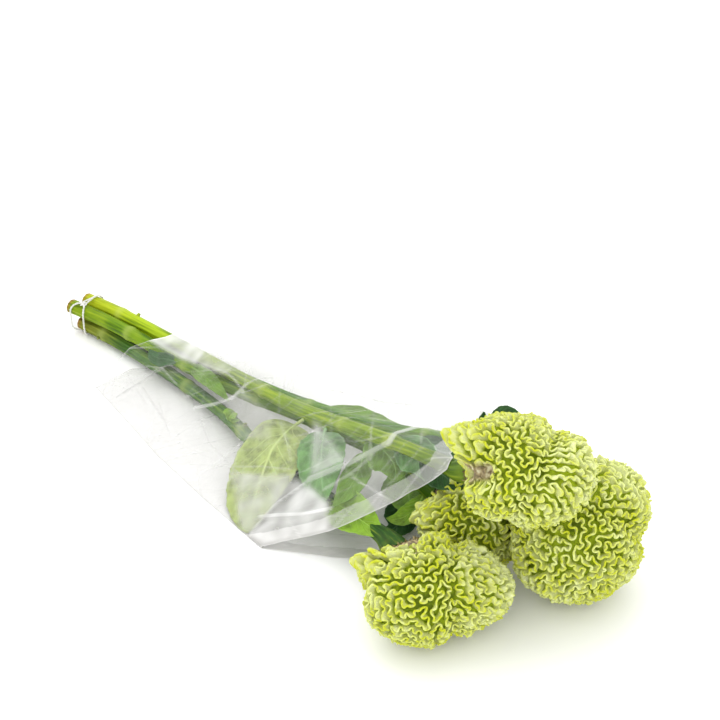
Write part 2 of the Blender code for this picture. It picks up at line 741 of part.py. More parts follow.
def film_top(x):
    """The upper film's line across the bunch at this x, as (y, z) points."""
    points = [(table_value(NEAR_EDGE, x), FILM_EDGE_HEIGHT)]
    points.append((table_value(FAR_EDGE, x), table_value(FAR_EDGE_HEIGHT, x) + FILM_EDGE_HEIGHT))
    reach = STEM_RADIUS_CUT + FILM_CLEARANCE + FILM_WALL
    for line in STEM_PATHS.values():
        if line[0, 0] < x < line[-1, 0]:
            _, y, z = at_x(line, x)
            points += list(zip(y + reach * np.cos(OVER_STEM), z + reach * np.sin(OVER_STEM)))
    return upper_hull(points)


def film_bottom(x, y):
    """The lower film's underside: flat on the floor, then rising to the far edge."""
    far = table_value(FAR_EDGE, x)
    share = np.clip((y - FLAT_UNTIL) / (far - FLAT_UNTIL), 0, 1)
    return table_value(FAR_EDGE_HEIGHT, x) * share**FAR_RISE


def kept_under_film(grid):
    """Leaf points that would pass through the film, the floor or the rim are pressed inside it."""
    flat = grid.reshape(-1, 3).copy()
    for point in flat:
        hull = film_top(point[0])
        share = np.interp(point[1], film_marks(point[0]), MARK_SHARES)
        if point[0] < rim_x(WIDE_RIM, share) + RIM_MARGIN:
            roof = np.interp(point[1], hull[:, 0], hull[:, 1]) - UNDER_FILM
            floor = film_bottom(point[0], point[1]) + OVER_FILM
            point[2] = max(min(point[2], roof), floor)
        else:
            point[2] = max(point[2], LEAF_THICKNESS)
    return flat.reshape(grid.shape)


def film_marks(x):
    """The y of the near edge, both sides of the ridge over stem_1, and the far edge at this x."""
    ridge = at_x(STEM_PATHS["stem_1"], x)[1]
    return [table_value(NEAR_EDGE, x), ridge - RIDGE_HALF, ridge + RIDGE_HALF, table_value(FAR_EDGE, x)]


def rim_x(table, share):
    return np.interp(share, [p[0] for p in table], [p[1] * MM for p in table])


def film_loops():
    """Grids of points round the sleeve, outside and inside, from its narrow to its wide end."""
    near, ridge_near, ridge_far, far = MARK_SHARES
    ridge = [ridge_near, (ridge_near + ridge_far) / 2]
    near_side = np.linspace(near, ridge_near, NEAR_COLUMNS)[:-1]
    shares = np.concatenate([near_side, ridge, np.linspace(ridge_far, far, FAR_COLUMNS)])
    outside, inside = [], []
    for along in np.linspace(0, 1, FILM_ROWS):
        top, under, roof, floor = [], [], [], []
        for share in shares:
            x = (1 - along) * rim_x(NARROW_RIM, share) + along * rim_x(WIDE_RIM, share)
            y = np.interp(share, MARK_SHARES, film_marks(x))
            hull = film_top(x)
            high, low = np.interp(y, hull[:, 0], hull[:, 1]), film_bottom(x, y)
            inset = (0.5 - share) * 2 * FILM_WALL
            top.append((x, y, high))
            under.append((x, y, low))
            roof.append((x, y + inset, high - ROOF_WALL))
            floor.append((x, y + inset, low + FILM_WALL))
        outside.append(top + under[::-1])
        inside.append(roof + floor[::-1])
    return np.array(outside), np.array(inside)


def make_sleeve():
    outside, inside = film_loops()
    rows, columns = outside.shape[:2]
    points = np.vstack([outside.reshape(-1, 3), inside.reshape(-1, 3)])
    under = rows * columns
    faces = []
    for i in range(rows - 1):
        for j in range(columns):
            a, b = i * columns + j, i * columns + (j + 1) % columns
            d, c = a + columns, b + columns
            faces += [(a, c, b), (a, d, c)]
            faces += [(under + a, under + b, under + c), (under + a, under + c, under + d)]
    last = (rows - 1) * columns
    for j in range(columns):
        k = (j + 1) % columns
        faces += [(j, k, under + k), (j, under + k, under + j)]
        faces += [(last + j, under + last + k, last + k), (last + j, under + last + j, under + last + k)]
    finish(add_object("sleeve", points, faces))


# Tie.


def round_hull(points):
    """The closed convex outline of (y, z) points, from its lowest y round."""
    upper = upper_hull(points)
    lower = -upper_hull([(-y, -z) for y, z in points])
    return np.vstack([upper, lower[1:-1]])


def tie_turn(near_x, far_x):
    """One turn of string pulled round the four stems, leaning along them."""
    reach = STEM_RADIUS_CUT + TIE_THICKNESS / 2 + GAP + TIE_SLACK
    points = []
    for line in STEM_PATHS.values():
        _, y, z = at_x(line, (near_x + far_x) / 2 * MM)
        points += list(zip(y + reach * np.cos(ROUND_STEM), z + reach * np.sin(ROUND_STEM)))
    outline = round_hull(points)
    outline = even_points(np.column_stack([outline, np.zeros(len(outline))]), True, TIE_STEP)[:, :2]
    outline[:, 1] = np.maximum(outline[:, 1], TIE_THICKNESS / 2)
    share = (outline[:, 0] - outline[:, 0].min()) / np.ptp(outline[:, 0])
    x = (near_x + (far_x - near_x) * share) * MM
    return tube(np.column_stack([x, outline]), TIE_THICKNESS / 2, TIE_SIDES, closed=True)


def make_tie():
    finish(joined("tie", [tie_turn(*turn) for turn in TIE_TURNS]))


def main():
    clear_scene()
    make_crests()
    make_stems()
    make_sleeve()
    make_tie()


main()
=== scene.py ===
"""Dresses a tied bunch of cut green cockscomb celosia in its clear flower sleeve.

The file is laid out as an add-on and run as a script. Tables are in millimetres, in the model's own
frame: +X along the bunch from the cut ends to the heads, +Z up from the surface that it lies on.
"""

import math

import bmesh
import bpy
import numpy as np
from bpy.props import FloatProperty, FloatVectorProperty, IntProperty, PointerProperty
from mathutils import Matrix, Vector, noise


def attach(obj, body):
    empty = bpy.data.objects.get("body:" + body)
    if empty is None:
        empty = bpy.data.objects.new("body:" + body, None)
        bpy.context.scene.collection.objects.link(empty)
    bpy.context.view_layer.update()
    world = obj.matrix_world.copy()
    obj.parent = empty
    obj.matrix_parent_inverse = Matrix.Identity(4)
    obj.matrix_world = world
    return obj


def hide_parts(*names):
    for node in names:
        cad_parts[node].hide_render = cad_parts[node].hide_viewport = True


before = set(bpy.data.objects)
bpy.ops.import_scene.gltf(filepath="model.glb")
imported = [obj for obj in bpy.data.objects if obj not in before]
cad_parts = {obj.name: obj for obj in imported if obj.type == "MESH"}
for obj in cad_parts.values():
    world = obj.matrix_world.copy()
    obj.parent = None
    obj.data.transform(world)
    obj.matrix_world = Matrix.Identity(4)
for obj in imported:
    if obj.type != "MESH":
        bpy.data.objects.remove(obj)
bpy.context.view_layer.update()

bl_info = {
    "name": "Cockscomb Celosia Bunch",
    "version": (1, 0, 0),
    "blender": (4, 5, 0),
    "location": "3D View > Sidebar > Celosia",
    "description": "Builds ruffled celosia heads, leafy stems, a clear sleeve and a string tie",
    "category": "Object",
}

MM = 0.001
GAP = 0.0004
SEED_STEPS = (7.1, 3.7, 5.3)

# Flower heads: centre, radii along the crest's own axes, turn of those axes about Z in degrees, the
# neck's place, bumps as (direction, share, spread), grooves as (normal, offset, share, spread),
# loose spots where the folds are larger and pale spots, both as (direction, share, spread), tufts that
# stand out beside the neck as (direction, mm, spread), and bare spots as (direction, share, spread).
HEADS = {
    "crest_1": {
        "centre": (182, -13, 106),
        "radii": (45, 37, 30),
        "turn": 5,
        "neck": (144, -6, 83),
        "bumps": [((0.75, 0.62, 0.35), 0.10, 0.45), ((-0.45, -0.75, 0.1), 0.08, 0.5)],
        "grooves": [((0.80, 0.35, -0.45), 0.22, 0.13, 0.14)],
        "loose": [((-0.74, -0.62, 0.25), 0.6, 0.5)],
        "pale": [((0.9, 0.3, 0.1), 0.6, 0.7), ((0.2, -0.6, -0.8), 0.8, 0.5)],
        "tufts": [
            ((-0.78, -0.44, 0.44), 14, 0.26), ((-0.45, -0.2, 0.85), 4, 0.35),
            ((-0.25, -0.89, 0.38), -9, 0.30),
        ],
        "bare": [((-0.25, -0.89, 0.38), 1.0, 0.22), ((-0.60, -0.78, 0.10), 1.1, 0.26)],
        "seed": 11,
    },
    "crest_2": {
        "centre": (140, 10, 31),
        "radii": (34, 36, 31),
        "turn": 0,
        "neck": (100, 21, 29),
        "bumps": [((-0.5, -0.8, 0.3), 0.09, 0.5), ((0.5, 0.3, 0.8), 0.07, 0.5)],
        "grooves": [((0.75, -0.65, 0.1), 0.05, 0.09, 0.13)],
        "loose": [((-0.7, -0.68, 0.25), 0.6, 0.5)],
        "pale": [((-0.6, -0.7, -0.4), 0.9, 0.5)],
        "tufts": [((-0.70, -0.66, 0.20), 11, 0.34), ((-0.3, -0.1, 0.95), 5, 0.3)],
        "bare": [],
        "seed": 22,
    },
    "crest_3": {
        "centre": (155, -59, 31),
        "radii": (35, 43, 31),
        "turn": -25,
        "neck": (114, -40, 29),
        "bumps": [((-0.6, -0.7, 0.4), 0.10, 0.4), ((0.2, -0.9, 0.3), 0.05, 0.5)],
        "grooves": [((0.80, 0.60, 0.0), 0.42, 0.13, 0.13)],
        "loose": [((-0.8, -0.25, 0.6), 0.6, 0.45)],
        "pale": [((0.8, 0.6, 0.1), 0.9, 0.5), ((-0.5, -0.6, -0.7), 0.8, 0.45)],
        "tufts": [
            ((-0.87, -0.40, 0.32), 17, 0.32), ((-0.10, 0.35, 0.95), 4, 0.3), ((0.80, 0.55, -0.05), 9, 0.5),
        ],
        "bare": [((-0.54, 0.09, 0.85), 0.9, 0.19)],
        "seed": 33,
    },
    "crest_4": {
        "centre": (204, 26, 46),
        "radii": (41, 44, 46),
        "turn": 0,
        "neck": (157, 54, 42),
        "bumps": [((0.45, 0.75, 0.65), 0.12, 0.4), ((-0.2, -0.9, -0.4), 0.08, 0.5)],
        "grooves": [((0.1, 0.75, 0.65), 0.38, 0.10, 0.15)],
        "loose": [((-0.3, -0.9, -0.3), 0.25, 0.5)],
        "pale": [((0.3, 0.6, 0.8), 0.6, 0.5), ((-0.3, -0.7, -0.7), 0.8, 0.45)],
        "tufts": [((-0.5, -0.7, 0.5), 3, 0.3)],
        "bare": [],
        "seed": 44,
    },
}
UNDERSIDE_ANGLE = math.radians(46)
# Pale and dry tones of a head, beside the colours in the settings.
FRESH_GREEN = (0.37, 0.47, 0.012)
WASHED_WALL, WASHED_LIP = (0.86, 0.90, 0.62), (0.80, 0.86, 0.50)
STRAW = (0.66, 0.62, 0.42)
# The folds that the ribbons grow from.
FOLD_LENGTH = 10.5 * MM
FOLD_PER_SPREAD = 5.72
FOLD_ROUNDS = 11
NARROW_ROUNDS, WIDE_ROUNDS = 10, 16
FOLD_SHARPNESS = 1.8
BALL_SUBDIVISIONS = 6
CORE_SUBDIVISIONS = 5
PLEATS = 21
PLEAT_ANGLE = math.radians(41)
BARE_NECK_ANGLE = math.radians(33)
SHORTEST_RIBBON = 16 * MM
EASING_ROUNDS = 2

# Growth: the lines start with small waves and are lengthened where they have room, in rounds, each
# followed by steps that push lines apart and ease bends.
LINE_STEP = 0.9 * MM
WAVE_LENGTH, WAVE_SWING = 6.5 * MM, 1.0 * MM
WAVE_DRIFT, DRIFT_SIZE = 0.8, 20 * MM
SWING_CHANGE, CHANGE_SIZE = 0.6, 12 * MM
GROWING_ROUNDS, STEPS_PER_ROUND = 15, 14
GROWTH = 0.22
PAIR_STEPS = 5
PAIR_MARGIN = 1.0 * MM
OWN_STEPS = 8
SPRING, BENDING, PUSH = 0.25, 0.14, 0.30
LONGEST_MOVE = 0.4 * MM
NECK_WIDENING = 0.35
WIDENED_UNTIL, WIDENED_FROM = math.radians(50), math.radians(85)
CELLS_A_SIDE = 1000

# Ribbon section from one root over the lip to the other: rise as a share of the depth, half width as
# a share of the lip's.
SECTION = [(0.0, 1.1), (0.35, 0.64), (0.62, 0.58), (0.82, 0.78), (0.95, 1.0), (1.0, 0.6)]
RIBBON_STEP = 1.0 * MM
ROOT_ROUNDS = 26
FLARE_POWER = 1.9
DROOP = 0.8
END_TAPER = 9 * MM
UNEVEN_SIZE, FINE_SIZE = 5.5 * MM, 2.2 * MM
UNEVEN_SINK, FINE_SINK, LESS_SINK = 0.85, 0.25, 0.1
UNEVEN_LIP, FINE_LIP = 0.12, 0.18
BARE_FLATTENING = 0.92
CORE_DEPTH = 0.82
CORE_BUMP_SIZE, CORE_BUMP = 3 * MM, 0.35 * MM
CONE_STARTS, CONE_ENDS = BARE_NECK_ANGLE * 0.9, BARE_NECK_ANGLE * 1.35
DRY_FROM, DRY_UNTIL = 0.35, 0.75

# Dry scales at the neck: how many, degrees from the neck's axis, sizes in mm, and how deep they sit.
SCALES = 420
SCALE_ANGLES = (15, 44)
SCALE_HALF_WIDTHS, SCALE_LENGTHS = (0.35, 0.7), (1.4, 3.2)
SCALE_ROOT = 0.6 * MM
SCALE_LEAN, SCALE_SCATTER = 0.75, 0.35
SCALE_SHOULDER, SHOULDER_WIDTH = 0.6, 0.8

STEM_RADIUS_CUT = 5.1 * MM
STEM_RADIUS_MIDDLE = 4.5 * MM
STEM_RADIUS_NECK = 6.4 * MM
PROFILE_SHARES = [0, 0.35, 0.86, 1]
PROFILE_RADII = [STEM_RADIUS_CUT, STEM_RADIUS_MIDDLE, STEM_RADIUS_MIDDLE, STEM_RADIUS_NECK]
NECK_RUN = 12 * MM
NECK_FLARE = 2.4 * MM
NODE_LENGTH = 3.2 * MM
STEM_TWIST = 9
PATH_POINTS = 60
SPAN_POINTS = 12
STEMS = {
    "stem_1": {
        "head": "crest_1",
        "way": [(-241, 56.5, 18.8), (-208, 57, 19.2), (-150, 53, 20), (-112, 48, 22.5),
                (-67, 39, 28.5), (-29, 29, 36), (6, 21, 45), (77, 9, 63)],
        "nodes": [-206, -131, -52, 30, 73],
        "tints": [(0.40, 0.46, 0.008), (0.36, 0.50, 0.010), (0.20, 0.31, 0.015)],
    },
    "stem_2": {
        "head": "crest_2",
        "way": [(-245, 44.5, 18.1), (-208, 45.5, 18), (-157, 42.5, 17.5), (-125, 40.5, 16.6),
                (-97, 40.5, 15.5), (-69, 41, 16), (-25, 41, 19), (50, 35, 25)],
        "nodes": [-186, -129, -63, -12, 50],
        "tints": [(0.19, 0.28, 0.003), (0.13, 0.25, 0.004), (0.13, 0.25, 0.012)],
    },
    "stem_3": {
        "head": "crest_3",
        "way": [(-236, 45.5, 7.1), (-209, 44, 7.1), (-157, 38, 6.8), (-125, 32.5, 7.2),
                (-81, 22, 9), (-36, 6, 11), (18, -10, 15), (69, -22, 21)],
        "nodes": [-211, -120, -53, 31],
        "tints": [(0.15, 0.16, 0.008), (0.06, 0.15, 0.02), (0.05, 0.15, 0.015)],
    },
    "stem_4": {
        "head": "crest_4",
        "way": [(-242, 56.8, 7.1), (-195, 60, 7.1), (-150, 61, 7.2), (-95, 60, 9),
                (-35, 59, 13), (35, 64, 21), (95, 72, 32)],
        "nodes": [-193, -115, -32, 60],
        "tints": [(0.13, 0.24, 0.008), (0.11, 0.25, 0.012), (0.10, 0.24, 0.02)],
    },
}
STEM_ROWS, STEM_COLUMNS = 260, 36
INTO_HEAD = 7 * MM
# Rings of a cut end, from its rim in: share of the radius, and how many mm inward each lies.
CUT_RINGS = [(0.985, -0.1), (0.93, -0.3), (0.84, -0.1), (0.77, 0.45), (0.45, 0.6), (0.12, 0.5)]
BROWNED = (0.36, 0.10, 0.04)
CUT_NOISE_SIZE, CUT_RAGGEDNESS = 0.5, 0.25 * MM
CUT_NOISE_STEP = 200
# Stumps that stripped leaves left: stem, place along X and direction.
STUB_LENGTH = 2.6 * MM
STUB_RADII = [1.9, 1.7, 1.5, 1.1]
STUB_COLUMNS = 12
STUB_LOOK = {"along": 0.06, "round": 0.2, "node": 0.9, "depth": 0.9}
SIDE_STUBS = [
    ("stem_1", -194, (0.3, 0.75, 0.7)),
    ("stem_3", -214, (0.1, -0.8, -0.1)),
    ("stem_3", -53, (0.2, 0.3, 1.0)),
]

# Leaves: name, stem, place of the root along X, middle and tip of the blade, width, the side that it
# faces, and its tone; "dark" is a darker green, used as painted shade for the leaves under the heads.
LEAVES = [
    ("leaf_broad", "stem_2", -21, (-7, -18, 27), (11, -59, 4), 55, (0.2, -0.5, 1.0), "pale"),
    ("leaf_veined", "stem_2", -3, (28, -4, 37), (50, -29, 26), 34, (0.4, -0.6, 1.0), "cool"),
    ("leaf_fold", "stem_2", 32, (57, -6, 35), (59, -32, 30), 20, (0.3, -0.6, 1.0), "green"),
    ("leaf_wide", "stem_1", 42, (73, 10, 48), (86, -5, 45), 30, (0.2, -0.6, 1.0), "green"),
    ("leaf_middle", "stem_2", 62, (84, 14, 25), (97, -3, 21), 36, (0.1, -0.4, 1.0), "green"),
    ("leaf_upper_1", "stem_1", 67, (94, 12, 56), (112, -4, 56), 28, (0.3, -0.6, 1.0), "cool"),
    ("leaf_upper_2", "stem_1", 79, (100, 26, 57), (114, 19, 57), 24, (0.2, 0.2, 1.0), "dark"),
    ("leaf_upper_3", "stem_1", 93, (118, 5, 59), (134, 2, 60), 24, (0.1, -0.4, 1.0), "dark"),
    ("leaf_low", "stem_3", 38, (71, -28, 27), (101, -35, 29), 29, (0.1, -0.6, 1.0), "bright"),
    ("leaf_under", "stem_4", 58, (84, 11, 9), (80, -7, 6), 27, (0.1, -0.2, 1.0), "dark"),
    ("leaf_small", "stem_2", 94, (97, -2, 23), (86, -11, 20), 15, (0.1, -0.5, 1.0), "bright"),
    ("leaf_back", "stem_4", 114, (118, 66, 68), (134, 73, 67), 15, (-0.4, -0.9, 0.5), "dark"),
    ("leaf_hang", "stem_1", 134, (132, 19, 90), (130.5, 27, 101), 10, (0.5, -0.8, 0.3), "dark"),
    ("leaf_bud_1", "stem_3", -62, (-66, 14, 18), (-69, 11, 20), 8, (0.1, -0.6, 1.0), "bright"),
    ("leaf_bud_2", "stem_3", -60, (-61, 13, 18), (-58, 10, 20), 8, (0.1, -0.6, 1.0), "bright"),
    ("leaf_narrow_1", "stem_2", -131, (-147, 33, 21), (-159, 36, 21), 13, (0.0, -0.5, 1.0), "dark"),
    ("leaf_narrow_2", "stem_2", -127, (-103, 32, 23), (-75, 24, 19), 13, (0.0, -0.5, 1.0), "green"),
    ("leaf_far", "stem_4", -32, (9, 69, 16), (47, 73, 14), 24, (0.0, 0.3, 1.0), "green"),
]
LEAF_TONES_AND_SHADE = ("green", "dark", "bright", "cool", "pale")
STALK_SHARE = 0.12
LEAF_FOLD, LEAF_WAVE, LEAF_RIPPLE = 0.16, 0.10, 0.035
RIPPLE_RATE, RIPPLE_SKEW = 31, 4
QUILTING = 0.22 * MM
THINNEST_HALF = 0.5 * MM
# The blade's ragged edge: share of the half width and rate, coarse and fine.
COARSE_EDGE, COARSE_RATE = 0.02, 57
FINE_EDGE, FINE_RATE = 0.015, 131
MIDRIB_DEPTH = 0.35 * MM
LOWEST_LEAF = 0.6 * MM
STALK_SHARES, STALK_RADII = [0, STALK_SHARE, 0.3, 0.9, 1], [1.5, 1.1, 0.7, 0.25, 0.1]
WAVE_RATE, WAVE_SKEW = 9, 1.3
WIDEST_POWER, FULLNESS_POWER, BLADE_TAPER = 0.78, 0.72, 0.2
LEAF_ROWS, LEAF_COLUMNS = 61, 31
VEIN_PAIRS, VEIN_SLANT = 8, 2.4

# Sleeve: the film's edges in plan as (x, y), near and far, and its far edge's height.
FILM_WALL = 0.8 * MM
FILM_CLEARANCE = 1.5 * MM
UNDER_FILM = 1.9 * MM
OVER_FILM = 1.2 * MM
FILM_EDGE_HEIGHT = 2.2 * MM
NEAR_EDGE = [(-181, -1), (-133, -18), (-90, -34), (-33, -50), (25, -64), (125, -71)]
FAR_EDGE = [(-181, 77), (-150, 79), (-85, 83), (-25, 91), (35, 99), (125, 103)]
FAR_EDGE_HEIGHT = [(-181, 6), (-125, 8), (-65, 20), (15, 32), (125, 36)]
FLAT_UNTIL = 67 * MM
FAR_RISE = 1.5
# The two rims, as (share of the way across from the near edge, x).
NARROW_RIM = [(0.0, -178), (0.35, -173), (0.55, -155), (0.7, -149), (1.0, -143)]
WIDE_RIM = [(0.0, 27), (0.17, 67), (0.35, 99), (0.49, 123), (0.54, 130), (0.63, 129), (1.0, 95)]
RIM_MARGIN = 4 * MM
MARK_SHARES = [0, 0.55, 0.7, 1]
RIDGE_HALF = 5.5 * MM
OVER_STEM = np.radians(np.arange(20, 161, 20))
HULL_STEP = 2 * MM
FILM_ROWS, FILM_TOP_COLUMNS, FILM_FLOOR_COLUMNS = 230, 160, 60
# Long shallow folds of the film: direction in degrees, width in mm, share of the height, place.
FILM_FOLDS = [
    (14, 61, 0.30, 0.15), (74, 43, 0.24, 0.42), (39, 29, 0.17, 0.71), (-31, 35, 0.20, 0.23),
    (103, 21, 0.10, 0.92), (-64, 25, 0.12, 0.55), (150, 13, 0.06, 0.31),
]
FOLD_BEND, BEND_SIZE = 0.35, 70 * MM
FOLD_STRENGTH, STRENGTH_CHANGE, STRENGTH_SIZE = 0.55, 0.9, 38 * MM
FOLD_LINE_HALF = 0.55
UPPER_SEED, FLOOR_SEED = 3, 20
# Sharp folds of the upper film, in plan: points, half width and whiteness.
FILM_BANDS = [
    ([(-150, 22), (-137, 25), (-118, 18)], 0.6, 0.35),
    ([(-89, 5), (-76, 12), (-67, 19), (-64, 31)], 1.5, 0.45),
    ([(-64, 31), (-52, 44)], 0.9, 0.35),
    ([(33, -23), (57, -9), (77, 3)], 1.9, 0.42),
    ([(77, 3), (79, 31)], 2.2, 0.6),
    ([(48, -26), (62, -14), (70, -4)], 1.2, 0.3),
    ([(14, -60), (20, -40), (33, -23.5)], 0.8, 0.3),
    ([(14, -50), (42, -42), (60, -34)], 1.1, 0.35),
    ([(-30, -27), (-8, -22), (16, -20)], 0.6, 0.25),
]
# Folds that stand against the light and get painted shade, a grey mixed into the film, in plan: points, half
# width and greyness.
SHADED_FOLDS = [
    ([(-137, 25), (-153, -6)], 0.8, 0.8),
    ([(-140, 7), (-105, -10)], 0.7, 0.6),
    ([(-118, 0), (-92, -19)], 0.5, 0.35),
    ([(-160, 12), (-128, -3)], 0.5, 0.3),
    ([(-82, 0), (-58, -16), (-20, -30)], 0.5, 0.4),
    ([(52, 66), (30, 54), (-6, 50)], 0.6, 0.35),
    ([(60, -36), (34, -46), (12, -52)], 0.5, 0.4),
]
# Facets that hide more of what is behind them, partly where the film lies double and partly as painted sheen
# where it catches the light, in plan: corners in order, and how much they hide.
FILM_VEILS = [
    ([(-166, 39), (-116, 36), (-121, 84), (-166, 80)], 0.20),
    ([(-166, 39), (-84, 33), (-92, 86), (-166, 80)], 0.17),
    ([(-166, 39), (-52, 31), (-58, 88), (-166, 80)], 0.15),
    ([(-70, 16), (-64, 28), (-24, 12), (-14, -4), (-40, -8)], 0.18),
    ([(7, 14), (54, -8), (32, -23)], 0.30),
    ([(-31, -29), (18, -21), (57, -31), (67, -45), (27, -64), (6, -61)], 0.34),
    ([(14, -60), (33, -24), (56, -30), (60, -38)], 0.15),
    ([(-11, 54), (34, 65), (71, 101), (102, 30), (68, 30)], 0.12),
]
FLOOR_VEIL = 0.20
# How a sharp fold slopes and fades, in half widths, and how a veil fades from its edge inwards.
BAND_SLOPE, BAND_FADE = 2.5, (0.7, 1.3)
VEIL_FADE = (-1.5 * MM, 3.5 * MM)
VEIL_CHANGE, VEIL_CHANGE_SIZE, VEIL_SEED = 0.5, 9 * MM, 31
# Shares of the crease height for sharp folds and for the lower film, and where a veil calms folds.
BAND_HEIGHT, FLOOR_HEIGHT = 0.6, 0.5
CALMING, MOST_CALM = 1.6, 0.8
EDGE_SHARE = 0.06
RIM_LINE = 0.8 * MM

# String: two turns round the stems, each as (share of the way across from the near side, x).
TIE_TURNS = [
    [(0.0, -240.5), (0.12, -238.5), (0.3, -233.5), (1.0, -230.5)],
    [(0.0, -227.5), (0.3, -231.8), (1.0, -232.6)],
]
ROUND_STEM = np.radians(np.arange(0, 360, 15))
STRING_SLACK = 0.3 * MM
STRAND_STEP, STRAND_PITCH, STRAND_COLUMNS = 0.6 * MM, 4.5 * MM, 8
TIE_MIDDLE = -231 * MM
KNOT = (-232.3, 44.5, 24.6)
KNOT_SIZE = 2.2 * MM
TAILS = [
    [(-232.3, 44.5, 25.2), (-230.5, 43.0, 25.4), (-228.5, 41.5, 24.6)],
    [(-232.3, 44.5, 25.2), (-234.5, 43.5, 25.6), (-237.0, 42.0, 24.6)],
]

# Stage: lights as (name, place, size, power), what they point at, and the middle of the view.
LIGHTS = [
    ("window", (-0.5, 0.4, 1.7), 1.8, 8.0),
    ("fill", (0.9, -1.1, 1.1), 1.2, 3.0),
]
LIGHT_TARGET = (0.05, 0.0, 0.03)
FLOOR_HALF = 3.0
VIEW_TARGET = (-0.0489, 0.1371, 0.0018)


# Settings that share a form.


def length_setting(name, description, millimetres):
    return FloatProperty(name=name, description=description, default=millimetres * MM, unit="LENGTH")


def factor_setting(name, description, value):
    return FloatProperty(name=name, description=description, default=value, subtype="FACTOR")


def angle_setting(name, description, degrees):
    return FloatProperty(name=name, description=description, default=math.radians(degrees), subtype="ANGLE")


def colour_setting(name, description, *channels):
    return FloatVectorProperty(name=name, description=description, default=channels, subtype="COLOR")


class HeadSettings(bpy.types.PropertyGroup):
    """Sizes and colours of the ruffled flower heads."""

    spacing: length_setting("Fold Spacing", "Distance between neighbouring lips of the crest", 2.65)
    depth: FloatProperty(
        name="Fold Depth", description="How far the ribbons stand out of the core, in spacings", default=2.5
    )
    lip: factor_setting("Lip Width", "Width of a ribbon's lip, in fold spacings", 0.46)
    lip_colour: colour_setting("Lip Colour", "Bright edge of each fold", 0.55, 0.60, 0.022)
    wall_colour: colour_setting("Wall Colour", "Pale side of each fold", 0.69, 0.725, 0.20)
    # Deep colour: partly the crest's own deeper green, partly painted shade between the folds.
    deep_colour: colour_setting("Deep Colour", "Green between the folds", 0.135, 0.19, 0.005)
    chaff_colour: colour_setting("Chaff Colour", "Dry scales at the neck", 0.30, 0.235, 0.13)


class StemSettings(bpy.types.PropertyGroup):
    """Sizes and colours of the stems."""

    rib_share: FloatProperty(
        name="Rib Height", description="Height of the stem's ribs as a share of its radius", default=0.05
    )
    ribs: IntProperty(name="Ribs", description="Ribs round a stem", default=9, min=3)
    node_swell: length_setting("Node Swelling", "How far a node stands out", 0.7)
    rim_colour: colour_setting("Cut Rim", "Browned rim of a cut end", 0.22, 0.06, 0.03)
    pith_colour: colour_setting("Pith", "Pale middle of a cut end", 0.62, 0.60, 0.34)


class LeafSettings(bpy.types.PropertyGroup):
    """Thickness and colours of the leaves."""

    thickness: length_setting("Thickness", "Thickness of a blade", 0.45)
    green: colour_setting("Green", "Upper side of a fresh leaf", 0.12, 0.23, 0.022)
    # Painted shade: leaves under a head are drawn in this darker green.
    dark: colour_setting("Dark", "Leaf in the shade of a head", 0.024, 0.088, 0.016)
    bright: colour_setting("Bright", "Young leaf", 0.19, 0.34, 0.02)
    cool: colour_setting("Cool", "Leaf seen through the film", 0.13, 0.27, 0.08)
    pale: colour_setting("Pale", "Leaf turned with its pale underside up", 0.32, 0.39, 0.13)


class SleeveSettings(bpy.types.PropertyGroup):
    """Clearness and creasing of the film."""

    crease: length_setting("Crease Height", "Height of the film's creases", 2.2)
    milkiness: factor_setting("Milkiness", "How much of what is behind the film it hides", 0.07)
    hem: length_setting("Hem", "Width of the doubled band at the wide rim", 15)


class StringSettings(bpy.types.PropertyGroup):
    """Size and colour of the string."""

    thickness: length_setting("Thickness", "Thickness of the string", 1.4)
    colour: colour_setting("Colour", "Colour of the string", 0.80, 0.80, 0.76)


class StageSettings(bpy.types.PropertyGroup):
    """View, floor and light."""

    azimuth: angle_setting("Azimuth", "Side that the camera stands on", 37.5)
    elevation: angle_setting("Elevation", "Height of the camera as an angle", 35)
    distance: FloatProperty(
        name="Distance", description="From the camera to the middle of the view", default=1.40, unit="LENGTH"
    )
    lens: FloatProperty(name="Lens", description="Focal length in millimetres", default=97.2)
    room_light: FloatProperty(
        name="Room Light", description="Strength of the light from all round", default=1.3
    )
    floor_colour: colour_setting("Floor", "Colour of the floor", 0.97, 0.97, 0.965)


class CelosiaSettings(bpy.types.PropertyGroup):
    """All settings of the bunch."""

    heads: PointerProperty(type=HeadSettings)
    stems: PointerProperty(type=StemSettings)
    leaves: PointerProperty(type=LeafSettings)
    sleeve: PointerProperty(type=SleeveSettings)
    string: PointerProperty(type=StringSettings)
    stage: PointerProperty(type=StageSettings)


# Small tools for points and lines.


def unit(vector):
    vector = np.asarray(vector, float)
    return vector / np.linalg.norm(vector, axis=-1, keepdims=True)


def smooth_step(value, low, high):
    share = np.clip((value - low) / (high - low), 0, 1)
    return share * share * (3 - 2 * share)


def smooth_curve(knots, count):
    """Points along a Catmull-Rom curve through the knots, evenly spaced."""
    knots = np.asarray(knots, float)
    ends = np.vstack([2 * knots[0] - knots[1], knots, 2 * knots[-1] - knots[-2]])
    dense = []
    for a, b, c, d in zip(ends[:-3], ends[1:-2], ends[2:-1], ends[3:]):
        t = np.linspace(0, 1, SPAN_POINTS, endpoint=False)[:, None]
        bend = (2 * a - 5 * b + 4 * c - d) * t**2
        dense.append(0.5 * (2 * b + (c - a) * t + bend + (3 * b - a - 3 * c + d) * t**3))
    return spaced(np.vstack(dense + [knots[-1:]]), count)


def spaced(line, count):
    """The same line with this many points, evenly spaced."""
    along = np.concatenate([[0], np.cumsum(np.linalg.norm(np.diff(line, axis=0), axis=1))])
    wanted = np.linspace(0, along[-1], count)
    return np.stack([np.interp(wanted, along, line[:, k]) for k in range(3)], 1)


def even_points(line, closed, step):
    """The same line with points about one step apart."""
    if closed:
        line = np.vstack([line, line[:1]])
    length = np.linalg.norm(np.diff(line, axis=0), axis=1).sum()
    line = spaced(line, max(4, int(round(length / step))) + 1)
    return line[:-1] if closed else line


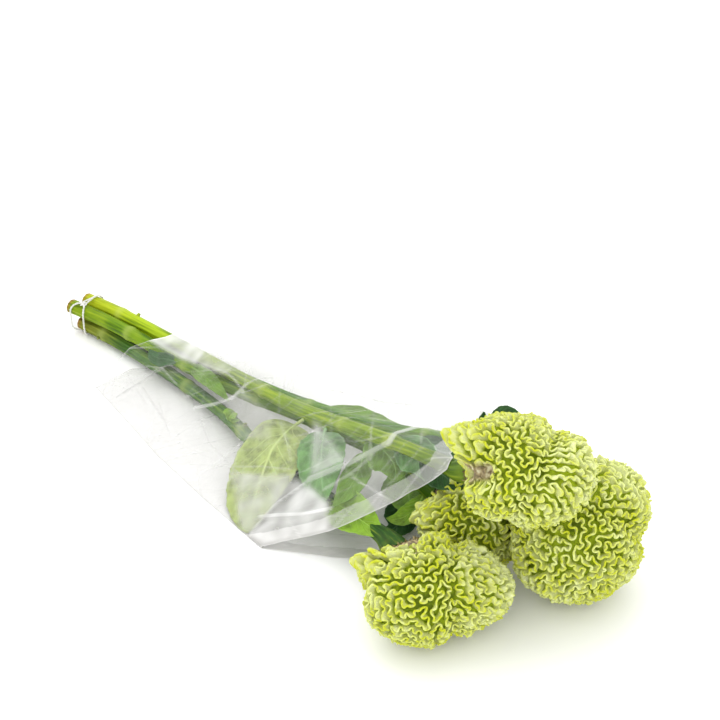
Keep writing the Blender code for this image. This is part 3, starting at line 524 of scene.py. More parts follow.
def relaxed(line, closed, rounds):
    """The line with its kinks eased."""
    for _ in range(rounds):
        eased = 0.25 * np.roll(line, 1, axis=0) + 0.5 * line + 0.25 * np.roll(line, -1, axis=0)
        if not closed:
            eased[0], eased[-1] = line[0], line[-1]
        line = eased
    return line


def noise_at(points, size, seed=0):
    """Smooth noise from -1 to 1 whose bumps are about this size."""
    shift = Vector([seed * step for step in SEED_STEPS])
    return np.array([noise.noise(Vector(p) / size + shift) for p in points])


def at_x(line, x):
    """The point of a line that runs along +X at this x."""
    return np.array([np.interp(x, line[:, 0], line[:, k]) for k in range(3)])


def table_value(table, x):
    return np.interp(x, [p[0] * MM for p in table], [p[1] * MM for p in table])


def new_piece(name, points, faces, materials, numbers=None, parts=None):
    """A mesh piece of the object. Numbers are float attributes of its points, parts its faces' material."""
    mesh = bpy.data.meshes.new(name)
    mesh.from_pydata(np.asarray(points).tolist(), [], faces)
    for material in materials:
        mesh.materials.append(material)
    for label, values in (numbers or {}).items():
        values = np.asarray(values, np.float32).ravel()
        mesh.attributes.new(label, "FLOAT", "POINT").data.foreach_set("value", values)
    if parts is not None:
        mesh.polygons.foreach_set("material_index", np.asarray(parts, np.int32))
    mesh.shade_smooth()
    mesh.update()
    obj = bpy.data.objects.new(name, mesh)
    bpy.context.scene.collection.objects.link(obj)
    return obj


def grid_faces(rows, columns, start=0, wrap_rows=False, wrap_columns=False):
    """Quads between the points of a grid, each a row's point, the next row's, and their neighbours."""
    i = np.arange(rows if wrap_rows else rows - 1)[:, None]
    j = np.arange(columns if wrap_columns else columns - 1)[None]
    onward, beside = (i + 1) % rows, (j + 1) % columns
    corners = [i * columns + j, onward * columns + j, onward * columns + beside, i * columns + beside]
    return (np.stack(corners, -1).reshape(-1, 4) + start).tolist()


# Small tools for node materials.


def new_material(name):
    material = bpy.data.materials.new(name)
    material.use_nodes = True
    tree = material.node_tree
    return material, tree, tree.nodes["Principled BSDF"]


def add_node(tree, kind, links=None, **values):
    """A node with its own settings, and its inputs linked or set by name or number."""
    made = tree.nodes.new(kind)
    for label, value in values.items():
        setattr(made, label, value)
    for label, value in (links or {}).items():
        if isinstance(value, bpy.types.NodeSocket):
            tree.links.new(value, made.inputs[label])
        else:
            made.inputs[label].default_value = value
    return made


def read_number(tree, label):
    return add_node(tree, "ShaderNodeAttribute", attribute_name=label).outputs["Fac"]


def object_noise(tree, scale, detail=3.0, stretch=None):
    """Noise over the piece, with this many bumps to a metre. Stretch scales the axes."""
    place = add_node(tree, "ShaderNodeTexCoord").outputs["Object"]
    if stretch:
        place = add_node(tree, "ShaderNodeMapping", {"Vector": place, "Scale": stretch}).outputs["Vector"]
    return noise_on(tree, place, scale, detail)


def noise_on(tree, place, scale, detail):
    links = {"Vector": place, "Scale": scale, "Detail": detail}
    return add_node(tree, "ShaderNodeTexNoise", links).outputs["Fac"]


def combine(tree, operation, first, second=0.0, third=None, clamp=False):
    links = {0: first, 1: second}
    if third is not None:
        links[2] = third
    return add_node(tree, "ShaderNodeMath", links, operation=operation, use_clamp=clamp).outputs[0]


def spread_between(tree, value, low, high, from_low=0.0, from_high=1.0):
    links = {"Value": value, "From Min": from_low, "From Max": from_high, "To Min": low, "To Max": high}
    return add_node(tree, "ShaderNodeMapRange", links).outputs["Result"]


def mixed(tree, share, first, second, blend="MIX"):
    """A mix of two colours, each a socket or a colour of three numbers."""
    made = add_node(tree, "ShaderNodeMix", data_type="RGBA", blend_type=blend)
    for socket, value in ((made.inputs[0], share), (made.inputs[6], first), (made.inputs[7], second)):
        if isinstance(value, bpy.types.NodeSocket):
            tree.links.new(value, socket)
        else:
            socket.default_value = value if isinstance(value, float) else (*value, 1)
    return made.outputs[2]


def colour_steps(tree, value, steps):
    """A colour ramp from (place, colour) steps."""
    ramp = add_node(tree, "ShaderNodeValToRGB", {"Fac": value})
    stops = ramp.color_ramp.elements
    while len(stops) < len(steps):
        stops.new(0.5)
    for stop, (place, colour) in zip(stops, steps):
        stop.position = place
        stop.color = (*colour, 1)
    return ramp.outputs["Color"]


def toned(colour, factor):
    """The colour made lighter or darker, no channel above 1."""
    return tuple(min(1, channel * factor) for channel in colour)


def surfaced(tree, shader, colour, roughness):
    tree.links.new(colour, shader.inputs["Base Color"])
    tree.links.new(roughness, shader.inputs["Roughness"])


def bumped(tree, shader, height, distance, strength=1.0):
    made = add_node(tree, "ShaderNodeBump", {"Height": height, "Distance": distance, "Strength": strength})
    tree.links.new(made.outputs["Normal"], shader.inputs["Normal"])


# Flower heads. A head is star-shaped: ribbons stand on a smaller core and end at its outer reach.


def neck_frame(head):
    """Unit vectors, the last one from the head's centre to its neck, and the neck's distance."""
    to_neck = (np.array(head["neck"]) - np.array(head["centre"])) * MM
    length = np.linalg.norm(to_neck)
    axis = to_neck / length
    side = unit(np.cross(axis, (0, 0, 1)))
    return np.array([side, np.cross(axis, side), axis]), length


def neck_angle(head, directions):
    return np.arccos(np.clip(directions @ neck_frame(head)[0][2], -1, 1))


def ellipsoid_reach(head, direction):
    """How far the head's plain ellipsoid reaches along each direction."""
    turn = math.radians(head["turn"])
    x = direction[..., 0] * math.cos(turn) + direction[..., 1] * math.sin(turn)
    y = -direction[..., 0] * math.sin(turn) + direction[..., 1] * math.cos(turn)
    scaled = np.stack([x, y, direction[..., 2]], -1) / (np.array(head["radii"]) * MM)
    return 1 / np.linalg.norm(scaled, axis=-1)


def spots(listed, direction):
    """The sum of round spots, each (direction, share, spread), at these directions."""
    total = np.zeros(direction.shape[:-1])
    for towards, share, spread in listed:
        away = np.linalg.norm(direction - unit(towards), axis=-1)
        total = total + share * np.exp(-((away / spread) ** 2))
    return total


def lobed_reach(head, direction):
    """The ellipsoid's reach with the head's bumps and grooves, cut to a cone towards the neck."""
    share = 1 + spots(head["bumps"], direction)
    for normal, offset, amount, spread in head["grooves"]:
        away = direction @ unit(normal) - offset
        share = share - amount * np.exp(-((away / spread) ** 2))
    neck = neck_frame(head)[1]
    from_neck = neck_angle(head, direction)
    opening = np.maximum(np.sin(from_neck + UNDERSIDE_ANGLE), 1e-6)
    cone = np.where(from_neck < math.pi / 2, neck * math.sin(UNDERSIDE_ANGLE) / opening, 1.0)
    return np.minimum(ellipsoid_reach(head, direction) * share, cone) + spots(head["tufts"], direction) * MM


def contact_planes(name):
    """Planes that part this head from its neighbours and the floor: normal, distance from its centre."""
    head = HEADS[name]
    centre = np.array(head["centre"]) * MM
    planes = [(np.array([0, 0, -1.0]), centre[2])]
    for other in HEADS:
        if other == name:
            continue
        apart = np.array(HEADS[other]["centre"]) * MM - centre
        distance = np.linalg.norm(apart)
        normal = apart / distance
        mine = ellipsoid_reach(head, normal)
        theirs = ellipsoid_reach(HEADS[other], -normal)
        planes.append((normal, (distance + mine - theirs) / 2 - GAP / 2))
    return planes


def outer_reach(name, direction):
    """How far the ribbons' lips reach along each direction."""
    reach = lobed_reach(HEADS[name], direction)
    for normal, distance in contact_planes(name):
        towards = np.maximum(direction @ normal, 1e-6)
        reach = np.minimum(reach, distance / towards)
    return reach


def sphere_mesh(subdivisions):
    """Directions, triangles and each point's neighbours on a fine icosphere."""
    ball = bmesh.new()
    bmesh.ops.create_icosphere(ball, subdivisions=subdivisions, radius=1)
    ball.verts.ensure_lookup_table()
    points = unit([tuple(v.co) for v in ball.verts])
    faces = np.array([[v.index for v in f.verts] for f in ball.faces])
    around = [[e.other_vert(v).index for e in v.link_edges] for v in ball.verts]
    ball.free()
    return points, faces, np.array([ring + ring[: 6 - len(ring)] for ring in around])


def spread_out(field, neighbours, rate, rounds):
    for _ in range(rounds):
        field = field + rate * (field[neighbours].mean(axis=1) - field)
    return field


def folded_field(name, points, neighbours):
    """A field whose zero lines wander over the head like its folds, and run straight to the neck."""
    head = HEADS[name]
    axes, _ = neck_frame(head)
    reach = outer_reach(name, points)
    edge = np.linalg.norm(points[neighbours] - points[:, None], axis=2).mean(axis=1) * reach
    spread = FOLD_LENGTH / FOLD_PER_SPREAD
    rate = np.clip(2 * spread**2 / (NARROW_ROUNDS * edge**2), 0.05, 0.95)
    local = points @ axes.T
    near_neck = neck_angle(head, points) < PLEAT_ANGLE
    pleats = np.cos(PLEATS * np.arctan2(local[:, 1], local[:, 0]))
    field = np.random.default_rng(head["seed"]).normal(size=len(points))
    for _ in range(FOLD_ROUNDS):
        field = np.where(near_neck, pleats, field)
        narrow = spread_out(field, neighbours, rate, NARROW_ROUNDS)
        wide = spread_out(narrow, neighbours, rate, WIDE_ROUNDS)
        field = narrow - wide
        field = np.tanh(FOLD_SHARPNESS * field / field.std())
    return np.where(near_neck, pleats, field)


def zero_lines(points, faces, field):
    """The field's zero lines as closed loops of directions."""
    field = np.where(np.abs(field) < 1e-9, 1e-9, field)
    crossing = {}
    links = {}
    for a, b, c in faces[np.abs(np.sign(field[faces]).sum(axis=1)) < 3]:
        keys = []
        for p, q in ((a, b), (b, c), (c, a)):
            if field[p] * field[q] < 0:
                key = (min(p, q), max(p, q))
                keys.append(key)
                between = points[p] * field[q] - points[q] * field[p]
                crossing[key] = unit(between / (field[q] - field[p]))
        links.setdefault(keys[0], []).append(keys[1])
        links.setdefault(keys[1], []).append(keys[0])
    loops = []
    left = set(links)
    for start in sorted(links):
        if start not in left:
            continue
        loop = [start]
        left.discard(start)
        onward = [k for k in links[start] if k in left]
        while onward:
            loop.append(onward[0])
            left.discard(onward[0])
            onward = [k for k in links[loop[-1]] if k in left]
        loops.append(np.array([crossing[k] for k in loop]))
    return loops


def stretches(loop, wanted):
    """The runs of a closed loop whose points are all wanted."""
    first = int(np.argmin(wanted))
    loop = np.roll(loop, -first, axis=0)
    wanted = np.roll(wanted, -first)
    cuts = np.flatnonzero(np.diff(wanted.astype(int))) + 1
    runs = zip(np.split(loop, cuts), np.split(wanted, cuts))
    return [run for run, kept in runs if kept.all() and len(run) > 3]


def coarse_lines(name, ball):
    """Centre lines of the head's main folds at its outer reach, from its centre, as (line, closed)."""
    points, faces, neighbours = ball
    found = []
    for loop in zero_lines(points, faces, folded_field(name, points, neighbours)):
        away = neck_angle(HEADS[name], loop) > BARE_NECK_ANGLE
        closed = bool(away.all())
        for piece in [loop] if closed else stretches(loop, away):
            line = unit(relaxed(piece, closed, EASING_ROUNDS))
            line = line * outer_reach(name, line)[:, None]
            if np.linalg.norm(np.diff(line, axis=0), axis=1).sum() > SHORTEST_RIBBON:
                found.append((even_points(line, closed, LINE_STEP), closed))
    return found


def linked(lines):
    """All points of the lines, with the index of the point before and after each, or -1 at an end."""
    points, before, after = [], [], []
    count = 0
    for line, closed in lines:
        own = np.arange(len(line)) + count
        back, onward = np.roll(own, 1), np.roll(own, -1)
        if not closed:
            back[0] = onward[-1] = -1
        points.append(line)
        before.append(back)
        after.append(onward)
        count += len(line)
    return np.vstack(points), np.concatenate(before), np.concatenate(after)


def near_pairs(points, radius):
    """Pairs of points within the radius, found cell by cell."""
    row, layer = CELLS_A_SIDE, CELLS_A_SIDE**2
    cells = np.floor(points / radius).astype(np.int64) + CELLS_A_SIDE // 2
    keys = cells @ (1, row, layer)
    order = np.argsort(keys)
    filed = keys[order]
    pairs = []
    for beside in range(27):
        shift = (beside % 3 - 1) + (beside // 3 % 3 - 1) * row + (beside // 9 - 1) * layer
        first = np.searchsorted(filed, keys + shift, "left")
        number = np.searchsorted(filed, keys + shift, "right") - first
        here = np.repeat(np.arange(len(points)), number)
        place = np.arange(number.sum()) - np.repeat(np.cumsum(number) - number, number)
        other = order[np.repeat(first, number) + place]
        pairs.append(np.stack([here, other], 1)[here < other])
    pairs = np.vstack(pairs)
    close = np.linalg.norm(points[pairs[:, 0]] - points[pairs[:, 1]], axis=1) < radius
    return pairs[close]


def close_pairs(points, after, radius):
    """Pairs of points within the radius that aren't near each other along one line."""
    pairs = near_pairs(points, radius)
    own = set()
    here = np.arange(len(points))
    onward = here
    for _ in range(OWN_STEPS):
        onward = np.where(onward >= 0, after[onward], -1)
        low, high = np.minimum(here, onward), np.maximum(here, onward)
        own.update((low[onward >= 0] * len(points) + high[onward >= 0]).tolist())
    keys = pairs[:, 0] * len(points) + pairs[:, 1]
    return pairs[~np.isin(keys, list(own))]


def local_spacing(name, directions, spacing):
    """Wanted distance between lips: larger at the head's loose spots and towards its neck."""
    head = HEADS[name]
    from_neck = smooth_step(neck_angle(head, directions), WIDENED_UNTIL, WIDENED_FROM)
    towards_neck = NECK_WIDENING * (1 - from_neck)
    return spacing * (1 + spots(head["loose"], directions) + towards_neck)


def pushed_apart(points, pairs, reach):
    """Each point's push away from its close pairs, and its distance to the closest."""
    apart = points[pairs[:, 0]] - points[pairs[:, 1]]
    distance = np.maximum(np.linalg.norm(apart, axis=1), 1e-6)
    wanted = (reach[pairs[:, 0]] + reach[pairs[:, 1]]) / 2
    push = apart / distance[:, None] * np.maximum(wanted - distance, 0)[:, None]
    move = np.zeros_like(points)
    for axis in range(3):
        move[:, axis] += np.bincount(pairs[:, 0], push[:, axis], len(points))
        move[:, axis] -= np.bincount(pairs[:, 1], push[:, axis], len(points))
    nearest = np.full(len(points), np.inf)
    np.minimum.at(nearest, pairs[:, 0], distance)
    np.minimum.at(nearest, pairs[:, 1], distance)
    return move, nearest


def waved(name, line, closed):
    """The line with small side waves, the seeds of its bends, but straight at the neck."""
    head = HEADS[name]
    line = even_points(line, closed, LINE_STEP)
    run = np.arange(len(line)) * LINE_STEP
    rounds = run / WAVE_LENGTH + WAVE_DRIFT * noise_at(line, DRIFT_SIZE, head["seed"])
    swing = WAVE_SWING * (1 + SWING_CHANGE * noise_at(line, CHANGE_SIZE, head["seed"] + 2))
    free = smooth_step(neck_angle(head, unit(line)), PLEAT_ANGLE, PLEAT_ANGLE * 1.3)
    return line + across_line(line, closed) * (np.sin(rounds * 2 * math.pi) * swing * free)[:, None]


def settled(name, lines, spacing):
    """The lines after some steps of pushing apart and easing, and each point's room beside it."""
    head = HEADS[name]
    points, before, after = linked(lines)
    has_both = (before >= 0) & (after >= 0)
    for step in range(STEPS_PER_ROUND):
        towards = unit(points)
        reach = local_spacing(name, towards, spacing)
        if step % PAIR_STEPS == 0:
            pairs = close_pairs(points, after, reach.max() + PAIR_MARGIN)
        move, nearest = pushed_apart(points, pairs, reach)
        move *= PUSH
        back, onward = points[before], points[after]
        for other in (back, onward):
            away = other - points
            length = np.maximum(np.linalg.norm(away, axis=1, keepdims=True), 1e-6)
            move += SPRING * away * (1 - LINE_STEP / length)
        bend = ((back + onward) / 2 - points) * has_both[:, None]
        move += BENDING * (bend - (bend[before] + bend[after]) / 2)
        move[~has_both] = 0
        move *= smooth_step(neck_angle(head, towards), PLEAT_ANGLE * 0.9, PLEAT_ANGLE * 1.1)[:, None]
        size = np.maximum(np.linalg.norm(move, axis=1, keepdims=True), 1e-9)
        points = points + move * np.minimum(1, LONGEST_MOVE / size)
        towards = unit(points)
        points = towards * outer_reach(name, towards)[:, None]
    room = np.clip((nearest - reach) / reach, 0, 1) * (neck_angle(head, towards) > PLEAT_ANGLE)
    cuts = np.cumsum([len(line) for line, _ in lines])[:-1]
    closed = [shut for _, shut in lines]
    return list(zip(np.split(points, cuts), closed, np.split(room, cuts)))


def lengthened(line, closed, growth):
    """The line with more points, by the growth of each, spread evenly with the growth as their weight."""
    links = len(line) - (not closed)
    if closed:
        line, growth = np.vstack([line, line[:1]]), np.append(growth, growth[0])
    more = 1 + (growth[1:] + growth[:-1]) / 2
    along = np.concatenate([[0], np.cumsum(np.linalg.norm(np.diff(line, axis=0), axis=1) * more)])
    wanted = np.linspace(0, along[-1], int(round(links * more.mean())) + 1)
    line = np.stack([np.interp(wanted, along, line[:, k]) for k in range(3)], 1)
    return line[:-1] if closed else line


def grown_lines(name, lines, spacing):
    """The lines lengthened and pushed apart on the head until they wander everywhere at their spacing."""
    lines = [(waved(name, line, closed), closed) for line, closed in lines]
    for _ in range(GROWING_ROUNDS):
        lines = [
            (lengthened(line, closed, GROWTH * room), closed)
            for line, closed, room in settled(name, lines, spacing)
        ]
    return [(line, closed) for line, closed, _ in settled(name, lines, spacing)]


def across_line(line, closed):
    """A unit vector at each point that lies in the surface and square to the line."""
    ahead = np.roll(line, -1, axis=0) - np.roll(line, 1, axis=0)
    if not closed:
        ahead[0], ahead[-1] = line[1] - line[0], line[-1] - line[-2]
    return unit(np.cross(ahead, line))


def ribbon(name, line, closed, settings):
    """One folded ribbon: a grid of points across its section and along its line, and their numbers."""
    head = HEADS[name]
    lip_line = unit(relaxed(even_points(line, closed, RIBBON_STEP), closed, 1))
    root_line = unit(relaxed(lip_line, closed, ROOT_ROUNDS))
    spacing = local_spacing(name, lip_line, settings.spacing)
    outer = outer_reach(name, lip_line)
    place = lip_line * outer[:, None]
    run = np.concatenate([[0], np.cumsum(np.linalg.norm(np.diff(place, axis=0), axis=1))])
    uneven = noise_at(place, UNEVEN_SIZE, head["seed"])
    fine = noise_at(place, FINE_SIZE, head["seed"] + 1)
    tall = np.ones(len(run)) if closed else smooth_step(np.minimum(run, run[-1] - run), 0, END_TAPER)
    tall = tall * (1 - BARE_FLATTENING * np.clip(spots(head["bare"], lip_line), 0, 1))
    depth = settings.depth * spacing
    out_of_line = np.linalg.norm(lip_line - root_line, axis=1) * outer
    sink = (UNEVEN_SINK * uneven + FINE_SINK * fine - LESS_SINK) * spacing + DROOP * out_of_line
    half = settings.lip * spacing / 2 * (1 + FINE_LIP * fine + UNEVEN_LIP * uneven)
    sides = []
    for rise, width in SECTION:
        share = rise**FLARE_POWER
        towards = unit(root_line * (1 - share) + lip_line * share)
        reach = outer_reach(name, towards) - depth * (1 - rise * tall) - sink * rise
        centre = towards * reach[:, None]
        side = across_line(centre, closed) * (half * width)[:, None]
        sides.append((centre + side, centre - side))
    grid = np.stack([left for left, _ in sides] + [right for _, right in sides[::-1]], axis=1)
    rises = [rise for rise, _ in SECTION + SECTION[::-1]]
    return grid, np.tile(rises, (len(run), 1)), np.repeat(run[:, None], len(rises), axis=1)


def head_core(name, ball, settings):
    """The smooth body inside the ribbons, with the bare cone that joins it to its stem."""
    head = HEADS[name]
    points, faces, _ = ball
    spacing = local_spacing(name, points, settings.spacing)
    outer = outer_reach(name, points)
    inner = outer - CORE_DEPTH * settings.depth * spacing
    angle = neck_angle(head, points)
    neck = neck_frame(head)[1]
    bare = 1 - smooth_step(angle, CONE_STARTS, CONE_ENDS)
    disc = neck / np.maximum(np.cos(angle), 0.2)
    reach = inner * (1 - bare) + np.minimum(outer, disc) * bare
    reach = reach + noise_at(points * reach[:, None], CORE_BUMP_SIZE, head["seed"]) * CORE_BUMP
    return points * reach[:, None], faces, bare


def chaff_scales(name):
    """Dry scales that stand on the cone under the head, each a face with five corners."""
    head = HEADS[name]
    axes = neck_frame(head)[0]
    draw = np.random.default_rng(head["seed"] + 5)
    points, faces = [], []
    for _ in range(SCALES):
        turn, angle = draw.uniform(0, 2 * math.pi), math.radians(draw.uniform(*SCALE_ANGLES))
        ring = math.sin(angle)
        towards = np.array([math.cos(turn) * ring, math.sin(turn) * ring, math.cos(angle)]) @ axes
        root = towards * (outer_reach(name, towards[None])[0] - SCALE_ROOT)
        up = unit(towards - SCALE_LEAN * axes[2] + draw.normal(size=3) * SCALE_SCATTER)
        side = unit(np.cross(up, towards)) * draw.uniform(*SCALE_HALF_WIDTHS) * MM
        long = draw.uniform(*SCALE_LENGTHS) * MM
        faces.append(tuple(range(len(points), len(points) + 5)))
        middle, shoulder = root + up * long * SCALE_SHOULDER, side * SHOULDER_WIDTH
        points += [root - side, root + side, middle + shoulder, root + up * long, middle - shoulder]
    return np.array(points), faces


def washed(colour, towards):
    """A colour a little more than half way to a paler one."""
    return tuple(0.45 * own + 0.55 * other for own, other in zip(colour, towards))


def crest_material(name, settings):
    """Bright lips over pale walls that sink into dark green, partly the crest's own deeper green and partly
    painted shade between the folds, paler in patches and dry where bare.
    """
    material, tree, shader = new_material(name)
    mottle, broad = object_noise(tree, 380, 4), object_noise(tree, 55, 2)
    height = combine(tree, "ADD", read_number(tree, "rise"), spread_between(tree, mottle, -0.07, 0.07))
    lip, wall, deep = tuple(settings.lip_colour), tuple(settings.wall_colour), tuple(settings.deep_colour)
    # Darker towards the roots of the folds: partly the crest's own green, partly painted shade.
    folds = [(0.08, deep), (0.28, FRESH_GREEN), (0.52, wall), (0.84, wall), (0.95, lip)]
    pale_wall, pale_lip = washed(wall, WASHED_WALL), washed(lip, WASHED_LIP)
    light = [(0.08, FRESH_GREEN), (0.26, wall), (0.48, pale_wall), (0.88, pale_wall), (0.96, pale_lip)]
    patches = spread_between(tree, broad, -0.15, 0.55, 0.35, 0.7)
    pale = read_number(tree, "pale")
    share = combine(tree, "MULTIPLY_ADD", pale, spread_between(tree, broad, 0.6, 1.4), patches)
    lobes = spread_between(tree, object_noise(tree, 230, 2), -0.35, 0.75, 0.3, 0.7)
    share = combine(tree, "ADD", share, lobes, clamp=True)
    fresh = mixed(tree, share, colour_steps(tree, height, folds), colour_steps(tree, height, light))
    dry = tuple(settings.chaff_colour)
    chaff = colour_steps(tree, mottle, [(0.35, toned(dry, 0.6)), (0.5, toned(dry, 1.25)), (0.65, STRAW)])
    colour = mixed(tree, read_number(tree, "chaff"), fresh, chaff)
    surfaced(tree, shader, colour, spread_between(tree, mottle, 0.5, 0.8))
    shader.inputs["Specular IOR Level"].default_value = 0.2
    turn = combine(tree, "MULTIPLY", read_number(tree, "run"), 2 * math.pi / (1.7 * MM))
    grain = combine(tree, "MULTIPLY_ADD", combine(tree, "SINE", turn), 0.35, object_noise(tree, 2200, 2))
    bumped(tree, shader, grain, 0.25 * MM, 0.7)
    shader.inputs["Subsurface Weight"].default_value = 0.12
    shader.inputs["Subsurface Radius"].default_value = (1.0, 1.0, 0.4)
    shader.inputs["Subsurface Scale"].default_value = 1.2 * MM
    return material


def chaff_material(settings):
    material, tree, shader = new_material("dry_chaff")
    tone = object_noise(tree, 420, 2)
    dry = tuple(settings.chaff_colour)
    colour = colour_steps(tree, tone, [(0.3, toned(dry, 0.45)), (0.5, dry), (0.68, toned(dry, 2.1))])
    surfaced(tree, shader, colour, spread_between(tree, tone, 0.6, 0.9))
    bumped(tree, shader, object_noise(tree, 2600, 2), 0.2 * MM)
    return material


def build_head(name, ball, core_ball, chaff, settings):
    """One flower head: its core, ribbons and chaff in one mesh."""
    head = HEADS[name]
    core, faces, bare = head_core(name, core_ball, settings)
    points = [core]
    rises, runs = [0.3 * bare], [np.zeros(len(core))]
    parts = (bare[faces].mean(axis=1) > 0.5).astype(int).tolist()
    faces = faces.tolist()
    count = len(core)
    for line, closed in grown_lines(name, coarse_lines(name, ball), settings.spacing):
        grid, rise, run = ribbon(name, line, closed, settings)
        rows, columns = grid.shape[:2]
        faces += grid_faces(rows, columns, count, wrap_rows=closed)
        points.append(grid.reshape(-1, 3))
        rises.append(rise.ravel())
        runs.append(run.ravel())
        count += rows * columns
    parts += [0] * (len(faces) - len(parts))
    scales, scale_faces = chaff_scales(name)
    points.append(scales)
    rises.append(np.zeros(len(scales)))
    runs.append(np.zeros(len(scales)))
    faces += [tuple(corner + count for corner in face) for face in scale_faces]
    parts += [1] * len(scale_faces)
    points = np.vstack(points)
    pale = np.clip(spots(head["pale"], unit(points)), 0, 1)
    dry = smooth_step(spots(head["bare"], unit(points)), DRY_FROM, DRY_UNTIL)
    numbers = {"rise": np.concatenate(rises), "run": np.concatenate(runs), "pale": pale, "chaff": dry}
    materials = [crest_material("folds_" + name[-1], settings), chaff]
    points = points + np.array(head["centre"]) * MM
    points[:, 2] = np.maximum(points[:, 2], GAP)
    return new_piece("head_" + name[-1], points, faces, materials, numbers, parts)


# Stems.


def stem_line(name, count=PATH_POINTS):
    """The stem's middle line: a smooth curve, then one straight piece square to the neck."""
    head = HEADS[STEMS[name]["head"]]
    axes, _ = neck_frame(head)
    neck = np.array(head["neck"]) * MM
    way = [np.array(p) * MM for p in STEMS[name]["way"]]
    return np.vstack([smooth_curve(way + [neck + axes[2] * NECK_RUN], count), neck + axes[2] * GAP])


def side_and_up(line, closed=False):
    """A side vector and an up vector at each point, square to the line."""
    if closed:
        ahead = unit(np.roll(line, -1, axis=0) - np.roll(line, 1, axis=0))
    else:
        ahead = unit(np.gradient(line, axis=0))
    side = unit(np.cross((1, 0, 0) if closed else (0, 0, 1), ahead))
    return side, np.cross(ahead, side)


def round_bar(line, radii, closed=False):
    """A grid of points round a line. Radii is a grid of rows along the line and columns round it."""
    side, up = side_and_up(line, closed)
    turn = np.arange(radii.shape[1]) * 2 * math.pi / radii.shape[1]
    ring = np.cos(turn)[None, :, None] * side[:, None] + np.sin(turn)[None, :, None] * up[:, None]
    return line[:, None] + ring * radii[..., None]


def capped_faces(rows, columns, start=0):
    """Faces of a round bar's grid with both ends closed."""
    faces = grid_faces(rows, columns, start, wrap_columns=True)
    faces.append(tuple(range(start, start + columns))[::-1])
    last = start + (rows - 1) * columns
    faces.append(tuple(range(last, last + columns)))
    return faces


def cut_end(line):
    """Rings that close the cut end: the browned rim, a step down, and the pith."""
    side, up = side_and_up(line[:3])
    ahead = unit(line[1] - line[0])
    turn = np.arange(STEM_COLUMNS) * 2 * math.pi / STEM_COLUMNS
    ring = np.cos(turn)[:, None] * side[0] + np.sin(turn)[:, None] * up[0]
    rings = []
    for share, inward in CUT_RINGS:
        ragged = noise_at(ring * share + line[0] * CUT_NOISE_STEP, CUT_NOISE_SIZE) * CUT_RAGGEDNESS
        rings.append(line[0] + ring * share * STEM_RADIUS_CUT + ahead * (inward * MM + ragged)[:, None])
    return np.array(rings)


def build_stem(name, cut, settings):
    """One stem with its ribs, nodes, cut end and the stumps of stripped leaves."""
    stem = STEMS[name]
    line = stem_line(name)
    line = spaced(np.vstack([line, line[-1] + unit(line[-1] - line[-2]) * INTO_HEAD]), STEM_ROWS)
    share = np.linspace(0, 1, STEM_ROWS)
    radius = np.interp(share, PROFILE_SHARES, PROFILE_RADII) + NECK_FLARE * smooth_step(share, 0.93, 0.99)
    swell = np.zeros(STEM_ROWS)
    for x in stem["nodes"]:
        swell += np.exp(-(((line[:, 0] - x * MM) / NODE_LENGTH) ** 2))
    turn = np.arange(STEM_COLUMNS) * 2 * math.pi / STEM_COLUMNS
    twist = turn[None] * settings.ribs + share[:, None] * STEM_TWIST
    rows = (radius + settings.node_swell * swell)[:, None]
    radii = rows * (1 + settings.rib_share * np.sin(twist) * (1 - 0.6 * swell)[:, None])
    body = round_bar(line, radii)
    rings = cut_end(line)[::-1]
    grid = np.concatenate([rings, body])
    faces = capped_faces(len(grid), STEM_COLUMNS)
    parts = [1] * (len(rings) * STEM_COLUMNS) + [0] * ((len(body) - 1) * STEM_COLUMNS) + [1, 0]
    run = np.concatenate([np.zeros(len(rings)), share])
    numbers = {
        "along": np.repeat(run, STEM_COLUMNS),
        "round": np.tile(turn / (2 * math.pi), len(grid)),
        "node": np.repeat(np.concatenate([np.zeros(len(rings)), swell]), STEM_COLUMNS),
        "depth": np.repeat([ring[0] for ring in CUT_RINGS[::-1]] + [1.0] * len(body), STEM_COLUMNS),
    }
    points = grid.reshape(-1, 3)
    for owner, x, towards in SIDE_STUBS:
        if owner == name:
            points, faces, parts = with_stub(points, faces, parts, numbers, line, x * MM, towards)
    material = stem_material("skin_" + name[-1], stem["tints"])
    return new_piece(name + "_skin", points, faces, [material, cut], numbers, parts)


def with_stub(points, faces, parts, numbers, line, x, towards):
    """The stem's mesh with the short stump of a stripped leaf added."""
    root = at_x(line, x)
    tip = root + unit(towards) * (STEM_RADIUS_MIDDLE + STUB_LENGTH)
    bar = np.linspace(root, tip, len(STUB_RADII))
    grid = round_bar(bar, np.repeat(np.array(STUB_RADII)[:, None] * MM, STUB_COLUMNS, axis=1))
    more = capped_faces(len(grid), STUB_COLUMNS, len(points))
    for label, value in STUB_LOOK.items():
        numbers[label] = np.concatenate([numbers[label], np.full(len(grid) * STUB_COLUMNS, value)])
    points = np.vstack([points, grid.reshape(-1, 3)])
    return points, faces + more, parts + [0] * len(more)


